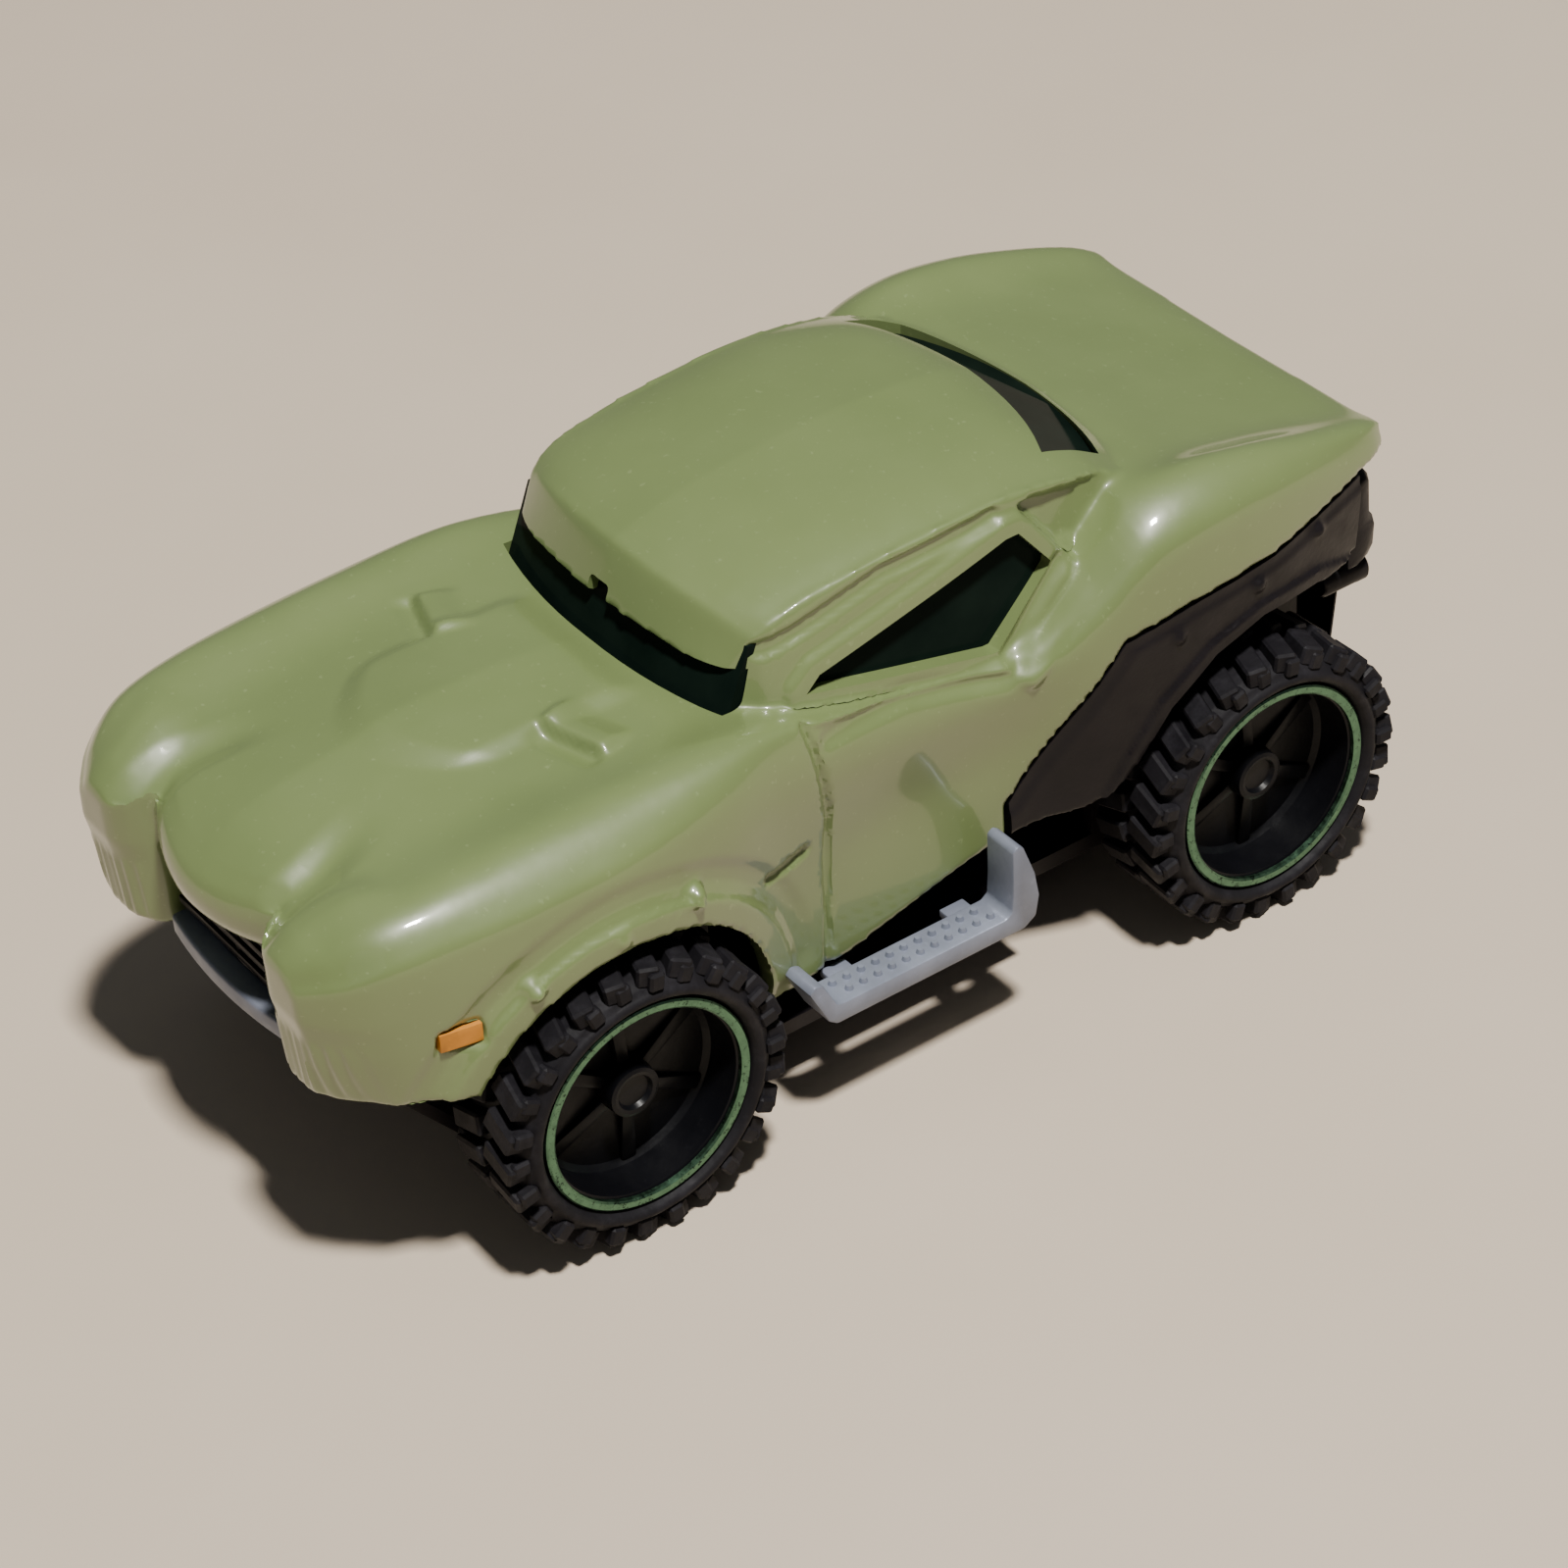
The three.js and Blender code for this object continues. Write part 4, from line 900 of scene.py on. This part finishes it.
def haunch_edges(points, normals):
    """The rear wing's leading edge stands proud of a groove beside the window's rear lip."""
    y, z, facing = side_places(points, normals)
    edge = ease(0.9, 0.1, line_distance(HAUNCH_EDGE, y, z))
    groove = ease(0.75, 0.1, line_distance(HAUNCH_GROOVE, y, z))
    belt = ease(0.8, 0.1, line_distance(BELT_LINE, y, z))
    return along_x(points, (0.3 * edge - 0.34 * groove - 0.22 * belt) * facing)


def make_body():
    """The die-cast shell: lofted, carved, evened out, worked in relief, then opened."""
    outer = skin(BODY_SECTIONS, BODY_RINGS, BODY_SPAN)
    rivets = []
    for y, z in ((-5.4, 9.9), (-0.3, 10.5), (4.6, 10.6)):
        for side in (1, -1):
            rivets.append(("UNION", rivet_head(0.5, side * 15.62, nose(y), z)))
    posts = [("UNION", bar(1.9, BASE_UNDER + 1.3, AXLE_Z + 15.4, (0, y), "Z", 24))
             for y in (nose(-3.2), tail(6.9))]
    cuts = [*hollow(), flare_cut(), flipped(flare_cut()), nose_opening(),
            block((-GRILLE_HALF, GRILLE_HALF), (-FAR, nose(-11.9)), (0, AXLE_Z + GRILLE_TOP)),
            block((-FAR, FAR), (tail(8.4), FAR), (0, AXLE_Z + 13.9)),
            marker_block(0.12), flipped(marker_block(0.12))]
    cuts += both_sides(quarter_recess)
    cuts += both_sides(lambda: bar(ARCH_RADIUS, BASE_HALF + GAP, FAR, (FRONT_AXLE_Y, AXLE_Z),
                                   sides=96))
    steps = [("UNION", cabin(70, 9, 0, CABIN_ROOT))] + rivets
    steps += [("DIFFERENCE", cut) for cut in cuts] + posts
    mesh = remade(carved(outer, steps), BODY_VOXEL, BODY_ROUNDS)
    shaped(mesh, arch_lip, window_lips, door_groove, bonnet_dome, nose_face, wing_valley,
           haunch_edges)
    slot, notch = windscreen_opening()
    windows = joined(slot, rear_opening(), *side_openings())
    openings = [("DIFFERENCE", windows), ("DIFFERENCE", notch)]
    mesh = carved(shape_of(mesh), openings, "MANIFOLD")
    crisp(piece("body_shell_cast", thinned(mesh, MOST_TRIANGLES), "body_shell"), 50)


def make_glazing():
    """One smoked moulding under the roof, with a pane that fills every opening."""
    window = prism(raised(SIDE_WINDOW), "X", -FAR, FAR)
    sides = carved(cabin(60, 6, 0.55, 13.4), [("INTERSECT", window)])
    steps = [("UNION", shape_of(sides)), ("UNION", windscreen_pane()), ("UNION", rear_pane()),
             ("DIFFERENCE", cabin(30, 4, WALL + GAP + 0.8, 11))]
    crisp(piece("smoked_windows", carved(cabin(60, 6, WALL + GAP, 13.4), steps), "window_glazing"))


# ---------------------------------------------------------------- trim
def flare_rim(points, normals):
    """A raised rim along the arch and a step where the flare meets the body."""
    y, z, facing = side_places(points, normals)
    rim = ease(1.0, 0.7, line_distance(FLARE_ARCH, y, z))
    top = ease(0.9, 0.4, line_distance(FLARE_TOP, y, z))
    return along_x(points, (0.3 * rim - 0.16 * top) * facing)


def make_flares():
    """The black rear arches, each with three rivet heads along its top."""
    outline = raised(FLARE_TOP + FLARE_ARCH + [(tail(-15.2), 1.6)])
    steps = [("DIFFERENCE", skin(BODY_SECTIONS, SPACE_RINGS, SPACE_SPAN, WALL + 0.3, SPACE_FLOOR)),
             ("INTERSECT", block((9, FAR), (tail(-17), FAR), (0, FAR)))]
    for y, z in ((35.7, 12.0), (41.2, 12.9), (45.9, 14.1)):
        x = 15.38 - max(y - 41, 0) * 0.13
        steps.append(("UNION", rivet_head(0.45, x, nose(y), z)))
    outer = skin(BODY_SECTIONS, BODY_RINGS, BODY_SPAN)
    mesh = remade(carved(outer, steps), FLARE_VOXEL, FLARE_ROUNDS)
    shaped(mesh, flare_rim)
    band = prism(outline, "X", 11, FAR)
    left = shape_of(carved(shape_of(mesh), [("INTERSECT", band)], "MANIFOLD"))
    crisp_pair(left, "rear_flare_{}_moulded", "rear_flare_{}", 50)


def make_markers():
    """Amber lamps that follow the wing's surface."""
    steps = [("INTERSECT", marker_block(0)),
             ("DIFFERENCE", skin(BODY_SECTIONS, 40, 5, WALL + 0.1, 0))]
    left = shape_of(carved(skin(BODY_SECTIONS, BODY_RINGS, BODY_SPAN, 0.02), steps))
    round_edges(left, 0.12, 2, 50)
    crisp_pair(left, "marker_{}_lens", "marker_lamp_{}")


def make_grille():
    """Black slats set back under the bonnet's lip."""
    lo, hi = low("front_grille"), high("front_grille")
    back = block((lo.x, hi.x), (lo.y + 0.7, hi.y), (lo.z, hi.z), 0.12)
    slats = []
    rows = 4
    for i in range(rows):
        z = lo.z + (i + 0.5) * (hi.z - lo.z) / rows
        slats.append(block((lo.x + 0.1, hi.x - 0.1), (lo.y, lo.y + 0.9),
                           (z - 0.22, z + 0.22), 0.08))
    slats.append(block((lo.x + 0.2, hi.x - 0.2), (lo.y + 0.9, hi.y),
                       (lo.z + 2, AXLE_Z + 12.4), 0.1))
    bars = [block((x - 0.2, x + 0.2), (lo.y + 0.15, lo.y + 0.9), (lo.z, hi.z), 0.06)
            for x in (-3, 0, 3)]
    crisp(piece("grille_slats", joined(back, *slats, *bars), "front_grille"))


def make_front_bumper():
    """A square bar bowed forward in the middle, on two stays."""
    lo, hi = low("front_bumper"), high("front_bumper")
    depth, bow, steps = 1.5, 0.55, 12
    shares = even_places(steps)
    front = [(hi.x * s, lo.y + bow * s * s) for s in shares]
    back = [(hi.x * s, lo.y + depth + bow * s * s) for s in reversed(shares)]
    beam = prism(front + back, "Z", lo.z, hi.z - 0.05)
    round_edges(beam, 0.22, 3, 50)
    stays = both_sides(lambda: block((2.4, 4), (lo.y + 1.2, hi.y), (lo.z + 0.5, hi.z - 0.1), 0.12))
    crisp(piece("bumper_bar", joined(beam, *stays), "front_bumper"))


def make_rear_bumper():
    """The black tail: a bowed panel with round ends, a ledge and a row of slots."""
    lo, hi = low("rear_bumper"), high("rear_bumper")
    rings = []
    for z, back in ((lo.z, 0.9), (lo.z + 0.25, 0.45), (lo.z + 0.8, 0.1), (lo.z + 2.2, 0.0),
                    (lo.z + 2.5, 0.4), (hi.z - 0.3, 0.5), (hi.z, 0.75)):
        steps = 20
        shares = even_places(steps)
        far = [(hi.x * math.copysign(1 - (1 - abs(s)) ** 1.6, s),
                hi.y - back - 1.6 * abs(s) ** 6, z) for s in shares]
        near = [(hi.x, lo.y, z), (-hi.x, lo.y, z)]
        rings.append(far + near)
    slots = [block((x - 0.9, x + 0.9), (hi.y - 1.4, FAR), (hi.z - 2.2, hi.z - 1.2))
             for x in (-6, -3, 0, 3, 6)]
    panel = shape_of(carved(lofted(rings), [("DIFFERENCE", slot) for slot in slots]))
    round_edges(panel, 0.14, 2, 50)
    crisp(piece("tail_panel", panel, "rear_bumper"))


def make_tail_pipes():
    """Two short round pipes, hollow at the open end."""
    for side in ("left", "right"):
        node = f"tail_pipe_{side}"
        lo, hi = low(node), high(node)
        radius, length = (hi.z - lo.z) / 2, hi.y - lo.y
        pipe = turned([(0, 0.0), (0, radius - 0.15), (0.2, radius - 0.02),
                       (length - 0.8, radius - 0.02), (length - 0.7, radius),
                       (length - 0.1, radius), (length, radius - 0.1), (length, radius - 0.28),
                       (length - 1.6, radius - 0.3), (length - 1.6, 0.0)], 40)
        bmesh.ops.rotate(pipe, cent=(0, 0, 0), matrix=Matrix.Rotation(math.pi / 2, 3, "Z"),
                         verts=pipe.verts)
        bmesh.ops.translate(pipe, vec=((lo.x + hi.x) / 2, lo.y, (lo.z + hi.z) / 2),
                            verts=pipe.verts)
        crisp(piece(f"{node}_tube", pipe, node))


def make_underside():
    """Raised ribs, a gear housing outline and spring plates under the base."""
    z0, z1 = BASE_UNDER - 0.3, BASE_UNDER + 0.15
    shapes = both_sides(lambda: block((8.1, 9.1), (nose(9.4), tail(-9.6)), (z0, z1), 0.12))
    shapes += [block((-7.4, 7.4), (nose(y), nose(y + 0.7)), (z0, z1), 0.1) for y in (10.2, 13.4)]
    shapes += both_sides(lambda: block((5.6, 6.2), (nose(11.2), tail(-11)), (z0, z1), 0.1))
    crisp(piece("base_ribs", joined(*shapes), "chassis_base", replace=False))


def make_steps():
    """Running boards: a studded tray with an upturned lip in front and a curved fin behind."""
    lo, hi = low("side_step_left"), high("side_step_left")
    deck, front, back = AXLE_Z - 0.3, lo.y + 1.4, hi.y - 0.6
    inner = 13.75
    section = [(front - 1.35, deck + 1.55), (front - 0.95, deck + 1.9), (front - 0.45, deck + 1.75),
               (front + 0.35, deck + 0.12), (front + 0.8, deck), (back - 1.7, deck),
               (back - 1.3, deck + 0.3), (back - 1.2, deck + 1.6), (back - 1.15, deck + 4.2),
               (back - 0.75, deck + 4.45), (back - 0.4, deck + 4.2), (back + 0.3, deck + 2.2),
               (back + 0.55, deck + 0.6), (back + 0.3, lo.z + 0.5), (back - 0.5, lo.z),
               (front + 0.3, lo.z), (front - 0.2, lo.z + 0.35)]
    tray = prism(section, "X", inner, hi.x)
    round_edges(tray, 0.16, 2, 25)
    studs = []
    count, rows = 11, 2
    for row in range(rows):
        for i in range(count):
            stud = bmesh.new()
            bmesh.ops.create_cone(stud, cap_ends=True, segments=10, radius1=0.27, radius2=0.17,
                                  depth=0.3)
            y = front + 1.2 + (i + 0.5 * row) * (back - front - 3.4) / (count - 0.5)
            bmesh.ops.translate(stud, vec=(14.45 + 0.85 * row, y, deck + 0.1), verts=stud.verts)
            studs.append(stud)
    tabs = [block((12.35, inner + 0.5), (y - 0.8, y + 0.8), (lo.z, lo.z + 0.5), 0.1)
            for y in (front + 0.2 * (back - front), front + 0.8 * (back - front))]
    left = joined(tray, *studs, *tabs)
    crisp_pair(left, "step_{}_tray", "side_step_{}")


# ---------------------------------------------------------------- wheels
def tyre_shape():
    """One knobbly tyre on the X axis: a round carcass, two rows of lugs and shoulder blocks."""
    r, root = TYRE_RADIUS, TYRE_RADIUS - 0.75
    bead = RING_RADIUS + 0.1
    profile = [(TYRE_FACE - 0.55, bead), (TYRE_FACE - 0.1, bead + 0.25), (TYRE_FACE, bead + 0.5),
               (TYRE_FACE - 0.12, bead + 0.72), (TYRE_FACE - 0.3, bead + 0.85),
               (TYRE_FACE - 0.45, root - 0.35), (TYRE_FACE - 1.0, root), (TYRE_BACK + 1.0, root),
               (TYRE_BACK + 0.45, root - 0.35), (TYRE_BACK + 0.1, bead + 0.6),
               (TYRE_BACK + 0.5, bead)]
    carcass = turned(profile)
    round_edges(carcass, 0.1, 2, 25)
    lugs = []
    width = (TYRE_FACE - TYRE_BACK) / 2
    for row in range(2):
        for i in range(LUGS):
            lug = block((0.3, width - 0.15), (-0.62, 0.62), (root - 0.4, r), 0.14, 1)
            bmesh.ops.rotate(lug, cent=(width / 2, 0, r), matrix=Matrix.Rotation(0.3, 3, "Z"),
                             verts=lug.verts)
            shoulder = block((0.02 if i % 2 else 0.2, 0.75), (-0.38, 0.5),
                             (root - 0.6, r - 0.28), 0.14, 1)
            for shape in (lug, shoulder):
                if row:
                    bmesh.ops.scale(shape, vec=(-1, 1, 1), verts=shape.verts)
                    bmesh.ops.reverse_faces(shape, faces=shape.faces)
                    bmesh.ops.translate(shape, vec=(TYRE_FACE, 0, 0), verts=shape.verts)
                else:
                    bmesh.ops.translate(shape, vec=(TYRE_BACK, 0, 0), verts=shape.verts)
                turn = Matrix.Rotation(2 * math.pi * (i + 0.5 * row) / LUGS, 3, "X")
                bmesh.ops.rotate(shape, cent=(0, 0, 0), matrix=turn, verts=shape.verts)
                lugs.append(shape)
    return joined(carcass, *lugs)


def rim_shape():
    """A deep black dish with six slim spokes round a cupped hub."""
    outer = RING_RADIUS - 0.1
    inside = outer - 0.55
    web = HUB_FACE - 1.5
    barrel = turned([(RING_BACK - 0.1, outer), (RING_BACK, inside + 0.3),
                     (RING_BACK - 0.15, inside), (web + 0.3, inside - 0.15), (web, inside - 0.45),
                     (web, 1.2), (web - 0.6, 1.2), (web - 0.6, inside - 0.3), (RIM_BACK, inside),
                     (RIM_BACK, outer)])
    hub = turned([(RIM_BACK, 0.95), (HUB_FACE - 0.5, 0.95), (HUB_FACE - 0.5, 0.0),
                  (HUB_FACE - 0.35, 0.0), (HUB_FACE - 0.3, 0.9), (HUB_FACE - 0.05, 1.05),
                  (HUB_FACE, 1.25), (HUB_FACE - 0.08, 1.45), (web, 1.6), (RIM_BACK, 1.5)], 64)
    spokes = []
    for i in range(SPOKES):
        spoke = block((web - 0.1, web + 0.6), (-0.34, 0.34), (1.2, inside - 0.05), 0.14)
        for v in spoke.verts:
            v.co.x -= 0.45 * max(v.co.z - 1.2, 0) / (inside - 1.2)
            v.co.y *= 1 + 0.5 * max(v.co.z - 1.2, 0) / (inside - 1.2)
        turn = Matrix.Rotation(2 * math.pi * i / SPOKES, 3, "X")
        bmesh.ops.rotate(spoke, cent=(0, 0, 0), matrix=turn, verts=spoke.verts)
        spokes.append(spoke)
    return joined(barrel, hub, *spokes)


def ring_shape():
    """The thin coloured band let in between rim and tyre."""
    face, back = RING_FACE, RING_BACK
    return turned([(back, RING_RADIUS), (face - 0.08, RING_RADIUS), (face, RING_RADIUS - 0.1),
                   (face, RING_RADIUS - 0.44), (face - 0.08, RING_RADIUS - 0.55),
                   (back, RING_RADIUS - 0.57)], 128)


def axle_shape(half):
    return turned([(-half, 0.0), (-half, AXLE_RADIUS - 0.15), (-half + 0.15, AXLE_RADIUS),
                   (half - 0.15, AXLE_RADIUS), (half, AXLE_RADIUS - 0.15), (half, 0.0)], 48)


def make_wheels():
    for end, y in (("front", FRONT_AXLE_Y), ("rear", REAR_AXLE_Y)):
        axle = axle_shape(high(f"{end}_axle").x)
        bmesh.ops.translate(axle, vec=(0, y, AXLE_Z), verts=axle.verts)
        crisp(piece(f"{end}_axle_wire", axle, f"{end}_axle"))
        for part, shape in (("tyre", tyre_shape), ("rim", rim_shape), ("ring", ring_shape)):
            left = shape()
            right = flipped(left)
            for side, made in (("left", left), ("right", right)):
                bmesh.ops.translate(made, vec=(0, y, AXLE_Z), verts=made.verts)
                node = f"{end}_{part}_{side}"
                crisp(piece(f"{node}_detail", made, node))


# ---------------------------------------------------------------- what the CAD holds as it is
def finish_cad_nodes():
    for name, obj in frame["nodes"].items():
        obj.data.materials.clear()
        obj.data.materials.append(FINISH[SLOT[name]])


make_camera()
make_floor()
make_lights()
finish_cad_nodes()
make_body()
make_glazing()
make_flares()
make_markers()
make_grille()
make_front_bumper()
make_rear_bumper()
make_tail_pipes()
make_underside()
make_steps()
make_wheels()
